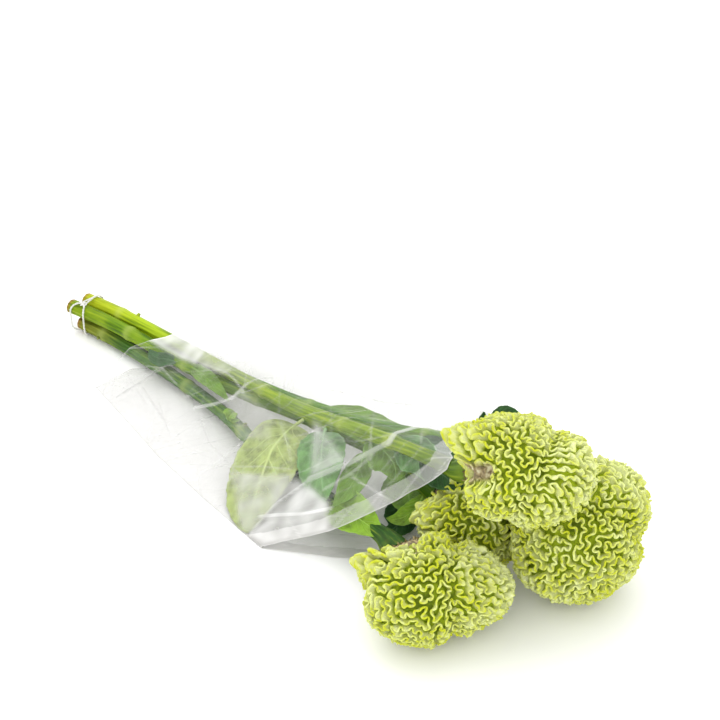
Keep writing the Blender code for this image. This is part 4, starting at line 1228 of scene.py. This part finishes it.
def stem_material(name, tints):
    """Skin with lengthways streaks, partly its own striation and partly painted highlight and shade, whose
    tints run from the cut end to the head, darkened just below the head as painted shade, paler on the
    nodes.
    """
    material, tree, shader = new_material(name)
    along, around = read_number(tree, "along"), read_number(tree, "round")
    stretched = {"X": combine(tree, "MULTIPLY", along, 0.7), "Y": around}
    place = add_node(tree, "ShaderNodeCombineXYZ", stretched).outputs[0]
    streak, fine = noise_on(tree, place, 16.0, 5.0), noise_on(tree, place, 40.0, 2.0)
    mottle = object_noise(tree, 60, 3)
    tint = colour_steps(tree, along, [(0.01, tints[0]), (0.14, tints[1]), (0.45, tints[2])])
    browned = mixed(tree, 0.55, tints[0], BROWNED)
    tint = mixed(tree, spread_between(tree, along, 1.0, 0.0, 0.002, 0.009), tint, browned)
    # Painted shade: the stem is darkened just below its head.
    shaded = mixed(tree, 1.0, tint, (0.45, 0.55, 0.5), "MULTIPLY")
    tint = mixed(tree, spread_between(tree, along, 0.0, 1.0, 0.8, 0.95), tint, shaded)
    # Streaks follow the bump's ridges: partly the stem's own striation, partly painted shade in the grooves
    # and painted highlight on the ridges.
    dark = mixed(tree, 1.0, tint, (0.42, 0.50, 0.3), "MULTIPLY")
    light = mixed(tree, 0.24, tint, (0.66, 0.72, 0.05))
    shade = mixed(tree, spread_between(tree, streak, 0.0, 1.0, 0.34, 0.52), dark, tint)
    shade = mixed(tree, spread_between(tree, streak, 0.0, 1.0, 0.54, 0.68), shade, light)
    shade = mixed(tree, spread_between(tree, mottle, 0.0, 0.4, 0.5, 0.72), shade, light)
    node_pale = mixed(tree, 0.4, tint, (0.52, 0.58, 0.16))
    node = combine(tree, "MULTIPLY", read_number(tree, "node"), 0.7)
    surfaced(tree, shader, mixed(tree, node, shade, node_pale), spread_between(tree, streak, 0.38, 0.62))
    bumped(tree, shader, combine(tree, "ADD", streak, fine), 0.25 * MM, 0.6)
    shader.inputs["Specular IOR Level"].default_value = 0.15
    return material


def cut_material(settings):
    """A cut end: browned rim, pale fibrous pith."""
    material, tree, shader = new_material("cut_end")
    grain = object_noise(tree, 900, 3)
    value = combine(tree, "ADD", read_number(tree, "depth"), spread_between(tree, grain, -0.12, 0.12))
    rim, pith = tuple(settings.rim_colour), tuple(settings.pith_colour)
    steps = [(0.0, toned(pith, 0.8)), (0.5, pith), (0.72, pith), (0.86, rim)]
    surfaced(tree, shader, colour_steps(tree, value, steps), spread_between(tree, grain, 0.55, 0.85))
    bumped(tree, shader, grain, 0.3 * MM, 0.8)
    return material


# Leaves.


def leaf_outline(along):
    """Half the leaf's width as a share of its widest: a stalk, a broad lower blade, a drawn out tip."""
    blade = np.clip((along - STALK_SHARE) / (1 - STALK_SHARE), 0, 1)
    return np.sin(math.pi * blade**WIDEST_POWER) ** FULLNESS_POWER * (1 - BLADE_TAPER * blade)


def leaf_rib(root, middle, tip, count):
    along = np.linspace(0, 1, count)
    control = 2 * middle - (root + tip) / 2
    a, b, c = ((1 - along) ** 2)[:, None], (2 * along * (1 - along))[:, None], (along**2)[:, None]
    return along, a * root + b * control + c * tip


def build_leaf(spec, materials, settings):
    """One leaf: a waved blade with sunken veins, and its stalk and midrib under it."""
    name, stem, x, middle, tip, width, facing, tone_and_shade = spec
    root = at_x(stem_line(stem), x * MM)
    along, rib = leaf_rib(root, np.array(middle) * MM, np.array(tip) * MM, LEAF_ROWS)
    ahead = unit(np.gradient(rib, axis=0))
    side = unit(np.cross(ahead, facing))
    up = np.cross(side, ahead)
    span = np.maximum(leaf_outline(along) * width * MM / 2, THINNEST_HALF)
    across = np.linspace(-1, 1, LEAF_COLUMNS)
    down, aside = along[:, None], np.abs(across)[None]
    wave = np.sin(down * WAVE_RATE + across[None] * WAVE_SKEW) * aside**2
    ripple = np.sin(down * RIPPLE_RATE + across[None] * RIPPLE_SKEW) * aside**4
    lift = (LEAF_FOLD * aside + LEAF_WAVE * wave + LEAF_RIPPLE * ripple) * span[:, None]
    quilt = np.cos((down * VEIN_PAIRS - aside * VEIN_SLANT) * 2 * math.pi)
    lift = lift + quilt * QUILTING * np.sin(math.pi * aside) * (span / span.max())[:, None]
    ragged = 1 + COARSE_EDGE * np.sin(along * COARSE_RATE + x) + FINE_EDGE * np.sin(along * FINE_RATE)
    sideways = across[None, :, None] * (side * (span * ragged)[:, None])[:, None]
    grid = kept_under_film(rib[:, None] + sideways + lift[..., None] * up[:, None])
    points = grid.reshape(-1, 3)
    faces = grid_faces(LEAF_ROWS, LEAF_COLUMNS)
    numbers = {
        "along": np.repeat((along - STALK_SHARE) / (1 - STALK_SHARE), LEAF_COLUMNS),
        "across": np.tile(across, LEAF_ROWS),
    }
    blade = new_piece(name, points, faces, [materials[tone_and_shade]], numbers)
    thick = blade.modifiers.new("Thickness", "SOLIDIFY")
    thick.thickness = settings.thickness
    thick.offset = 0
    middle_line = grid[:, LEAF_COLUMNS // 2] - up * MIDRIB_DEPTH
    return blade, leaf_stalk(name, middle_line, along, materials[tone_and_shade])


def leaf_stalk(name, line, along, material):
    """The leaf's stalk, which goes on as the midrib under the blade."""
    radius = np.interp(along, STALK_SHARES, STALK_RADII) * MM
    columns = 8
    grid = round_bar(line, np.repeat(radius[:, None], columns, axis=1))
    faces = capped_faces(len(grid), columns)
    numbers = {"along": np.repeat(along, columns), "across": np.zeros(len(grid) * columns)}
    return new_piece(name + "_stalk", grid.reshape(-1, 3), faces, [material], numbers)


def leaf_material(name, colour):
    """A blade with a pale midrib, slanted side veins, and a finer net between them."""
    material, tree, shader = new_material("leaf_" + name)
    along, across = read_number(tree, "along"), read_number(tree, "across")
    aside = combine(tree, "ABSOLUTE", across)
    slant = combine(tree, "MULTIPLY", combine(tree, "POWER", aside, 0.85), VEIN_SLANT)
    phase = combine(tree, "SUBTRACT", combine(tree, "MULTIPLY", along, float(VEIN_PAIRS)), slant)
    wobble = spread_between(tree, object_noise(tree, 130, 2), -0.12, 0.12)
    wave = combine(tree, "PINGPONG", combine(tree, "ADD", phase, wobble), 0.5)
    vein = spread_between(tree, wave, 1.0, 0.0, 0.0, 0.085)
    thin = spread_between(tree, aside, 1.0, 0.15, 0.1, 0.95)
    vein = combine(tree, "MULTIPLY", vein, thin)
    rib = spread_between(tree, aside, 1.0, 0.0, 0.015, 0.06)
    links = {"Vector": add_node(tree, "ShaderNodeTexCoord").outputs["Object"], "Scale": 620.0}
    cells = add_node(tree, "ShaderNodeTexVoronoi", links, feature="DISTANCE_TO_EDGE")
    net = spread_between(tree, cells.outputs["Distance"], 1.0, 0.0, 0.0, 0.10)
    lines = combine(tree, "MAXIMUM", vein, rib)
    lines = combine(tree, "MAXIMUM", lines, combine(tree, "MULTIPLY", net, 0.25))
    tone = object_noise(tree, 130, 5)
    base = colour_steps(tree, tone, [(0.36, toned(colour, 0.66)), (0.5, colour), (0.62, toned(colour, 1.2))])
    pale = tuple(min(1, channel * 1.5 + 0.06) for channel in colour)
    veined = mixed(tree, combine(tree, "MULTIPLY", lines, 0.75), base, pale)
    edge = spread_between(tree, aside, 0.0, 0.4, 0.9, 1.0)
    surfaced(tree, shader, mixed(tree, edge, veined, pale), spread_between(tree, tone, 0.36, 0.55))
    relief = combine(tree, "SUBTRACT", combine(tree, "MULTIPLY", tone, 0.3), lines)
    bumped(tree, shader, relief, 0.3 * MM, 0.8)
    shader.inputs["Specular IOR Level"].default_value = 0.25
    shader.inputs["Subsurface Weight"].default_value = 0.08
    shader.inputs["Subsurface Scale"].default_value = 0.8 * MM
    return material


# Sleeve. The film is drawn tight over the stems and lies flat on the surface, open at both ends.


def upper_hull(points):
    """The points on the upper side of the convex hull, by increasing y."""
    hull = []
    for point in sorted(map(tuple, points)):
        while len(hull) > 1:
            (ay, az), (by, bz) = hull[-2], hull[-1]
            if (by - ay) * (point[1] - az) - (bz - az) * (point[0] - ay) < 0:
                break
            hull.pop()
        hull.append(point)
    return np.array(hull)


STEM_PATHS = {name: stem_line(name) for name in STEMS}
HULLS = {}


def film_hull(step):
    """The upper film's line across the bunch, as (y, z) points, this many hull steps along X."""
    if step not in HULLS:
        x = step * HULL_STEP
        points = [(table_value(NEAR_EDGE, x), FILM_EDGE_HEIGHT)]
        points.append((table_value(FAR_EDGE, x), table_value(FAR_EDGE_HEIGHT, x) + FILM_EDGE_HEIGHT))
        reach = STEM_RADIUS_CUT + FILM_CLEARANCE + FILM_WALL / 2
        for line in STEM_PATHS.values():
            if line[0, 0] < x < line[-1, 0]:
                _, y, z = at_x(line, x)
                points += list(zip(y + reach * np.cos(OVER_STEM), z + reach * np.sin(OVER_STEM)))
        HULLS[step] = upper_hull(points)
    return HULLS[step]


def film_top(x, y):
    """The upper film's height."""
    step = math.floor(x / HULL_STEP)
    share = x / HULL_STEP - step
    low, high = (np.interp(y, hull[:, 0], hull[:, 1]) for hull in (film_hull(step), film_hull(step + 1)))
    return low * (1 - share) + high * share


def film_bottom(x, y):
    """The lower film: flat on the surface, then rising to the far edge."""
    far = table_value(FAR_EDGE, x)
    share = np.clip((y - FLAT_UNTIL) / (far - FLAT_UNTIL), 0, 1)
    return table_value(FAR_EDGE_HEIGHT, x) * share**FAR_RISE


def film_marks(x):
    """The y of the near edge, both sides of the ridge over stem_1, and the far edge at this x."""
    ridge = at_x(STEM_PATHS["stem_1"], x)[1]
    return [table_value(NEAR_EDGE, x), ridge - RIDGE_HALF, ridge + RIDGE_HALF, table_value(FAR_EDGE, x)]


def rim_x(table, share):
    return np.interp(share, [p[0] for p in table], [p[1] * MM for p in table])


def kept_under_film(grid):
    """Leaf points that would pass through the film, the surface or the rim are pressed inside it."""
    flat = grid.reshape(-1, 3).copy()
    for point in flat:
        share = np.interp(point[1], film_marks(point[0]), MARK_SHARES)
        if point[0] < rim_x(WIDE_RIM, share) + RIM_MARGIN:
            roof = film_top(point[0], point[1]) - UNDER_FILM
            floor = film_bottom(point[0], point[1]) + OVER_FILM
            point[2] = max(min(point[2], roof), floor)
        else:
            point[2] = max(point[2], LOWEST_LEAF)
    return flat.reshape(grid.shape)


def folds_at(points, seed):
    """The film's folds at plan points: height from 0 to 1, and whiteness along the fold lines."""
    bend = noise_at(points, BEND_SIZE, seed) * FOLD_BEND
    height, white = np.zeros(len(points)), np.zeros(len(points))
    for k, (angle, width, share, place) in enumerate(FILM_FOLDS):
        turn = math.radians(angle)
        across = (points[:, 0] * math.cos(turn) + points[:, 1] * math.sin(turn)) / (width * MM)
        phase = (across + place + bend) % 1
        patches = noise_at(points, STRENGTH_SIZE, seed + k + 1)
        here = np.clip(FOLD_STRENGTH + STRENGTH_CHANGE * patches, 0, 1)
        height += share * here * (1 - np.abs(2 * phase - 1))
        from_line = np.abs(phase - 0.5) * width
        white += here**2 * np.exp(-((from_line / FOLD_LINE_HALF) ** 2)) * (0.35 + share * 2)
    return height, np.clip(white, 0, 1)


def from_segment(points, start, end):
    """Each plan point's distance from a straight stretch."""
    start, way = np.array(start) * MM, (np.array(end) - np.array(start)) * MM
    share = np.clip((points - start) @ way / (way @ way), 0, 1)
    return np.linalg.norm(points - start - share[:, None] * way, axis=1)


def bands_at(points, listed):
    """Height from 0 to 1 and strength of the sharp folds at plan points."""
    height, white = np.zeros(len(points)), np.zeros(len(points))
    for corners, half, amount in listed:
        away = np.min([from_segment(points, a, b) for a, b in zip(corners, corners[1:])], axis=0)
        height = np.maximum(height, 1 - smooth_step(away, 0, half * BAND_SLOPE * MM))
        inner, outer = (half * share * MM for share in BAND_FADE)
        white = np.maximum(white, amount * (1 - smooth_step(away, inner, outer)))
    return height, white


def veils_at(points):
    """How much the film's facets hide at plan points: double film, and painted sheen on the shining ones."""
    total = np.zeros(len(points))
    for corners, amount in FILM_VEILS:
        corners = np.array(corners, float) * MM
        onward = np.roll(corners, -1, axis=0) - corners
        turned = np.stack([-onward[:, 1], onward[:, 0]], 1) / np.linalg.norm(onward, axis=1)[:, None]
        turned *= np.sign(((corners.mean(axis=0) - corners) * turned).sum(axis=1))[:, None]
        inside = np.min([(points - corner) @ side for corner, side in zip(corners, turned)], axis=0)
        total = total + amount * smooth_step(inside, *VEIL_FADE)
    flat = np.column_stack([points, 0 * points[:, 0]])
    return total * (1 + VEIL_CHANGE * noise_at(flat, VEIL_CHANGE_SIZE, VEIL_SEED))


def build_sleeve(settings):
    """The film as one open tube, creased, with a doubled band at its wide rim."""
    near, far = MARK_SHARES[0], MARK_SHARES[-1]
    top_shares = np.linspace(near, far, FILM_TOP_COLUMNS)
    floor_shares = np.linspace(far, near, FILM_FLOOR_COLUMNS)
    shares = np.concatenate([top_shares, floor_shares])
    on_top = np.arange(len(shares)) < FILM_TOP_COLUMNS
    along = np.linspace(0, 1, FILM_ROWS)
    start, end = rim_x(NARROW_RIM, shares), rim_x(WIDE_RIM, shares)
    x = start[None] * (1 - along[:, None]) + end[None] * along[:, None]
    grid = np.zeros((FILM_ROWS, len(shares), 3))
    for i in range(FILM_ROWS):
        for j in range(len(shares)):
            y = np.interp(shares[j], MARK_SHARES, film_marks(x[i, j]))
            if on_top[j]:
                z = film_top(x[i, j], y) - 0.6 * FILM_WALL
            else:
                z = film_bottom(x[i, j], y) + FILM_WALL / 2
            grid[i, j] = x[i, j], y, z
    flat = grid.reshape(-1, 3) * (1, 1, 0)
    upper, floor = folds_at(flat, UPPER_SEED), folds_at(flat, FLOOR_SEED)
    top = np.tile(on_top, FILM_ROWS)
    raised, white = bands_at(flat[:, :2], FILM_BANDS)
    # Painted shade: grey along the folds that stand against the light.
    turned, grey = bands_at(flat[:, :2], SHADED_FOLDS)
    raised = np.maximum(raised, turned)
    height = np.where(top, upper[0] + BAND_HEIGHT * raised, floor[0] * FLOOR_HEIGHT) * settings.crease
    edge = np.tile(smooth_step(np.minimum(shares, 1 - shares), 0, EDGE_SHARE), FILM_ROWS)
    points = grid.reshape(-1, 3) + (0, 0, 1) * (height * edge)[:, None]
    length = (end - start)[None] * np.ones((FILM_ROWS, 1))
    to_wide = ((1 - along[:, None]) * length).ravel()
    to_narrow = (along[:, None] * length).ravel()
    veil = veils_at(flat[:, :2])
    calm = 1 - np.minimum(veil * CALMING, MOST_CALM)
    numbers = {
        "crease": np.where(top, np.maximum(upper[1] * calm * 0.8, white * 1.3), floor[1] * 0.35),
        "veil": np.where(top, veil, FLOOR_VEIL),
        "grey": np.where(top, grey, 0),
        "hem": 1.0 * (to_wide < settings.hem),
        "rim": np.exp(-((np.minimum(to_wide, to_narrow) / RIM_LINE) ** 2)),
    }
    faces = grid_faces(FILM_ROWS, len(shares), wrap_columns=True)
    return new_piece("film_sleeve", points, faces, [film_material(settings)], numbers)


def film_material(settings):
    """Glossy clear film: faintly milky, whiter on creases, hem and rims and on its veiled facets, partly
    double film and partly painted sheen, and grey as painted shade on folds against the light.
    """
    material, tree, shader = new_material("clear_film")
    crease, hem, rim, grey, veil = (
        read_number(tree, label) for label in ("crease", "hem", "rim", "grey", "veil")
    )
    cloud = object_noise(tree, 45, 4)
    milk = spread_between(tree, cloud, settings.milkiness * 0.5, settings.milkiness * 1.5, 0.3, 0.7)
    facing = add_node(tree, "ShaderNodeLayerWeight", {"Blend": 0.25}).outputs["Facing"]
    cover = combine(tree, "ADD", milk, veil)
    cover = combine(tree, "MULTIPLY_ADD", crease, 0.5, cover)
    cover = combine(tree, "MULTIPLY_ADD", rim, 0.4, cover)
    cover = combine(tree, "MULTIPLY_ADD", grey, 0.45, cover)
    cover = combine(tree, "MULTIPLY_ADD", combine(tree, "POWER", facing, 2.0), 0.25, cover)
    cover = combine(tree, "MULTIPLY_ADD", hem, 0.30, cover, clamp=True)
    tree.links.new(cover, shader.inputs["Alpha"])
    tint = colour_steps(tree, cloud, [(0.3, (0.55, 0.54, 0.52)), (0.7, (0.66, 0.65, 0.63))])
    # Veiled facets drawn whiter: partly double film, partly painted sheen.
    tint = mixed(tree, spread_between(tree, veil, 0.0, 1.0, 0.2, 0.5), tint, (0.80, 0.80, 0.78))
    tint = mixed(tree, crease, tint, (0.82, 0.82, 0.80))
    # Painted shade: the folds against the light are drawn grey.
    tint = mixed(tree, grey, tint, (0.33, 0.32, 0.31))
    surfaced(tree, shader, tint, spread_between(tree, cloud, 0.08, 0.2))
    bumped(tree, shader, object_noise(tree, 60, 2), 2.0 * MM, 0.3)
    shader.inputs["IOR"].default_value = 1.5
    return material


# String.


def round_hull(points):
    """The closed convex outline of (y, z) points, from its lowest y round."""
    upper = upper_hull(points)
    lower = -upper_hull([(-y, -z) for y, z in points])
    return np.vstack([upper, lower[1:-1]])


def string_turn(table, thickness):
    """One turn of string pulled round the four stems, leaning along them."""
    reach = STEM_RADIUS_CUT + thickness / 2 + GAP + STRING_SLACK
    points = []
    for line in STEM_PATHS.values():
        _, y, z = at_x(line, TIE_MIDDLE)
        points += list(zip(y + reach * np.cos(ROUND_STEM), z + reach * np.sin(ROUND_STEM)))
    outline = round_hull(points)
    near, far = outline[:, 0].min(), outline[:, 0].max()
    share = (outline[:, 0] - near) / (far - near)
    return np.column_stack([rim_x(table, share), outline])


def strand_pair(line, closed, thickness):
    """Two strands twisted round each other along the line."""
    line = even_points(line, closed, STRAND_STEP)
    side, up = side_and_up(line, closed)
    length = len(line) * STRAND_STEP
    twists = round(length / STRAND_PITCH)
    turn = np.arange(len(line)) / len(line) * twists * 2 * math.pi
    grids = []
    for phase in (0, math.pi):
        swing = np.cos(turn + phase)[:, None] * side + np.sin(turn + phase)[:, None] * up
        strand = line + swing * thickness * 0.24
        grids.append(round_bar(strand, np.full((len(line), STRAND_COLUMNS), thickness * 0.28), closed))
    return grids


def knot_line(place, size):
    """A small overhand knot as one closed line."""
    turn = np.linspace(0, 2 * math.pi, 40)
    loop = np.stack([
        (np.sin(turn) + 2 * np.sin(2 * turn)) * 0.33,
        (np.cos(turn) - 2 * np.cos(2 * turn)) * 0.33,
        -np.sin(3 * turn) * 0.33 + 0.2,
    ], 1)
    return place + loop * size


def build_string(settings):
    """The string's two turns, its knot and its two short tails in one mesh."""
    points, faces, bars, count = [], [], [], 0
    for table in TIE_TURNS:
        turn = string_turn(table, settings.thickness)
        bars += [(grid, True) for grid in strand_pair(turn, True, settings.thickness)]
    knot = knot_line(np.array(KNOT) * MM, KNOT_SIZE)[:-1]
    bars += [(grid, True) for grid in strand_pair(knot, True, settings.thickness * 0.9)]
    for tail in TAILS:
        line = smooth_curve(np.array(tail) * MM, 30)
        bars += [(grid, False) for grid in strand_pair(line, False, settings.thickness)]
    for grid, closed in bars:
        rows, columns = grid.shape[:2]
        if closed:
            faces += grid_faces(rows, columns, count, wrap_rows=True, wrap_columns=True)
        else:
            faces += capped_faces(rows, columns, count)
        points.append(grid.reshape(-1, 3))
        count += rows * columns
    points = np.vstack(points)
    points[:, 2] = np.maximum(points[:, 2], GAP)
    return new_piece("tie_string", points, faces, [string_material(settings)])


def string_material(settings):
    material, tree, shader = new_material("white_string")
    fibre = object_noise(tree, 1500, 3)
    base = tuple(settings.colour)
    colour = colour_steps(tree, fibre, [(0.35, toned(base, 0.72)), (0.6, base)])
    surfaced(tree, shader, colour, spread_between(tree, fibre, 0.7, 0.95))
    bumped(tree, shader, fibre, 0.2 * MM)
    shader.inputs["Sheen Weight"].default_value = 0.3
    return material


# Stage.


def build_stage(settings):
    """Pale floor, soft light and the camera."""
    corners = [(x * FLOOR_HALF, y * FLOOR_HALF, 0) for x, y in ((-1, -1), (1, -1), (1, 1), (-1, 1))]
    floor = new_piece("floor", corners, [(0, 1, 2, 3)], [floor_material(settings)])
    world = bpy.data.worlds.new("soft_room")
    bpy.context.scene.world = world
    world.use_nodes = True
    world.node_tree.nodes["Background"].inputs["Color"].default_value = (1, 1, 1, 1)
    world.node_tree.nodes["Background"].inputs["Strength"].default_value = settings.room_light
    for name, place, size, power in LIGHTS:
        data = bpy.data.lights.new(name, "AREA")
        data.shape = "DISK"
        data.size = size
        data.energy = power
        lamp = bpy.data.objects.new(name, data)
        lamp.location = place
        lamp.rotation_euler = (Vector(LIGHT_TARGET) - Vector(place)).to_track_quat("-Z", "Y").to_euler()
        bpy.context.scene.collection.objects.link(lamp)
    data = bpy.data.cameras.new("view")
    data.lens = settings.lens
    data.sensor_width = 36
    data.clip_end = 20
    camera = bpy.data.objects.new("view", data)
    a, e = settings.azimuth, settings.elevation
    back = Vector((math.sin(a) * math.cos(e), -math.cos(a) * math.cos(e), math.sin(e)))
    camera.location = Vector(VIEW_TARGET) + back * settings.distance
    camera.rotation_euler = (-back).to_track_quat("-Z", "Y").to_euler()
    bpy.context.scene.collection.objects.link(camera)
    bpy.context.scene.camera = camera
    bpy.context.scene.view_settings.view_transform = "Standard"


def floor_material(settings):
    material, tree, shader = new_material("pale_floor")
    tone = object_noise(tree, 3, 3)
    base = tuple(settings.floor_colour)
    colour = colour_steps(tree, tone, [(0.35, toned(base, 0.985)), (0.65, base)])
    surfaced(tree, shader, colour, spread_between(tree, tone, 0.75, 0.85))
    bumped(tree, shader, object_noise(tree, 700, 3), 0.05 * MM, 0.3)
    return material


def settle(piece, node):
    """Says what a piece rides on and which solid it stands for."""
    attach(piece, "root")
    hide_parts(node)


class CELOSIA_OT_heads(bpy.types.Operator):
    """Grow the four ruffled flower heads"""

    bl_idname = "celosia.heads"
    bl_label = "Flower Heads"

    def execute(self, context):
        settings = context.scene.celosia.heads
        ball, core_ball = sphere_mesh(BALL_SUBDIVISIONS), sphere_mesh(CORE_SUBDIVISIONS)
        chaff = chaff_material(settings)
        for name in HEADS:
            settle(build_head(name, ball, core_ball, chaff, settings), name)
        return {"FINISHED"}


class CELOSIA_OT_stems(bpy.types.Operator):
    """Build the four cut stems"""

    bl_idname = "celosia.stems"
    bl_label = "Stems"

    def execute(self, context):
        settings = context.scene.celosia.stems
        cut = cut_material(settings)
        for name in STEMS:
            settle(build_stem(name, cut, settings), name)
        return {"FINISHED"}


class CELOSIA_OT_leaves(bpy.types.Operator):
    """Build the leaves on the stems"""

    bl_idname = "celosia.leaves"
    bl_label = "Leaves"

    def execute(self, context):
        settings = context.scene.celosia.leaves
        tones_and_shade = {name: leaf_material(name, tuple(getattr(settings, name))) for name in LEAF_TONES_AND_SHADE}
        for spec in LEAVES:
            for piece in build_leaf(spec, tones_and_shade, settings):
                settle(piece, spec[1])
        return {"FINISHED"}


class CELOSIA_OT_sleeve(bpy.types.Operator):
    """Build the clear flower sleeve"""

    bl_idname = "celosia.sleeve"
    bl_label = "Sleeve"

    def execute(self, context):
        piece = build_sleeve(context.scene.celosia.sleeve)
        settle(piece, "sleeve")
        return {"FINISHED"}


class CELOSIA_OT_string(bpy.types.Operator):
    """Build the string that ties the stems"""

    bl_idname = "celosia.string"
    bl_label = "String"

    def execute(self, context):
        settle(build_string(context.scene.celosia.string), "tie")
        return {"FINISHED"}


class CELOSIA_OT_stage(bpy.types.Operator):
    """Set up the floor, the light and the camera"""

    bl_idname = "celosia.stage"
    bl_label = "Stage"

    def execute(self, context):
        build_stage(context.scene.celosia.stage)
        return {"FINISHED"}


class CELOSIA_PT_bunch(bpy.types.Panel):
    """Lists the pieces of the bunch and their settings"""

    bl_idname = "CELOSIA_PT_bunch"
    bl_label = "Celosia Bunch"
    bl_space_type = "VIEW_3D"
    bl_region_type = "UI"
    bl_category = "Celosia"

    def draw(self, context):
        for name in STEPS:
            group = getattr(context.scene.celosia, name)
            box = self.layout.box()
            box.operator("celosia." + name)
            for label in type(group).__annotations__:
                box.prop(group, label)


STEPS = ("heads", "stems", "leaves", "sleeve", "string", "stage")
CLASSES = (
    HeadSettings, StemSettings, LeafSettings, SleeveSettings, StringSettings, StageSettings,
    CelosiaSettings, CELOSIA_OT_heads, CELOSIA_OT_stems, CELOSIA_OT_leaves, CELOSIA_OT_sleeve,
    CELOSIA_OT_string, CELOSIA_OT_stage, CELOSIA_PT_bunch,
)


def register():
    for cls in CLASSES:
        bpy.utils.register_class(cls)
    bpy.types.Scene.celosia = PointerProperty(type=CelosiaSettings)


def unregister():
    del bpy.types.Scene.celosia
    for cls in reversed(CLASSES):
        bpy.utils.unregister_class(cls)


def main():
    register()
    for name in STEPS:
        getattr(bpy.ops.celosia, name)()


if __name__ == "__main__":
    main()
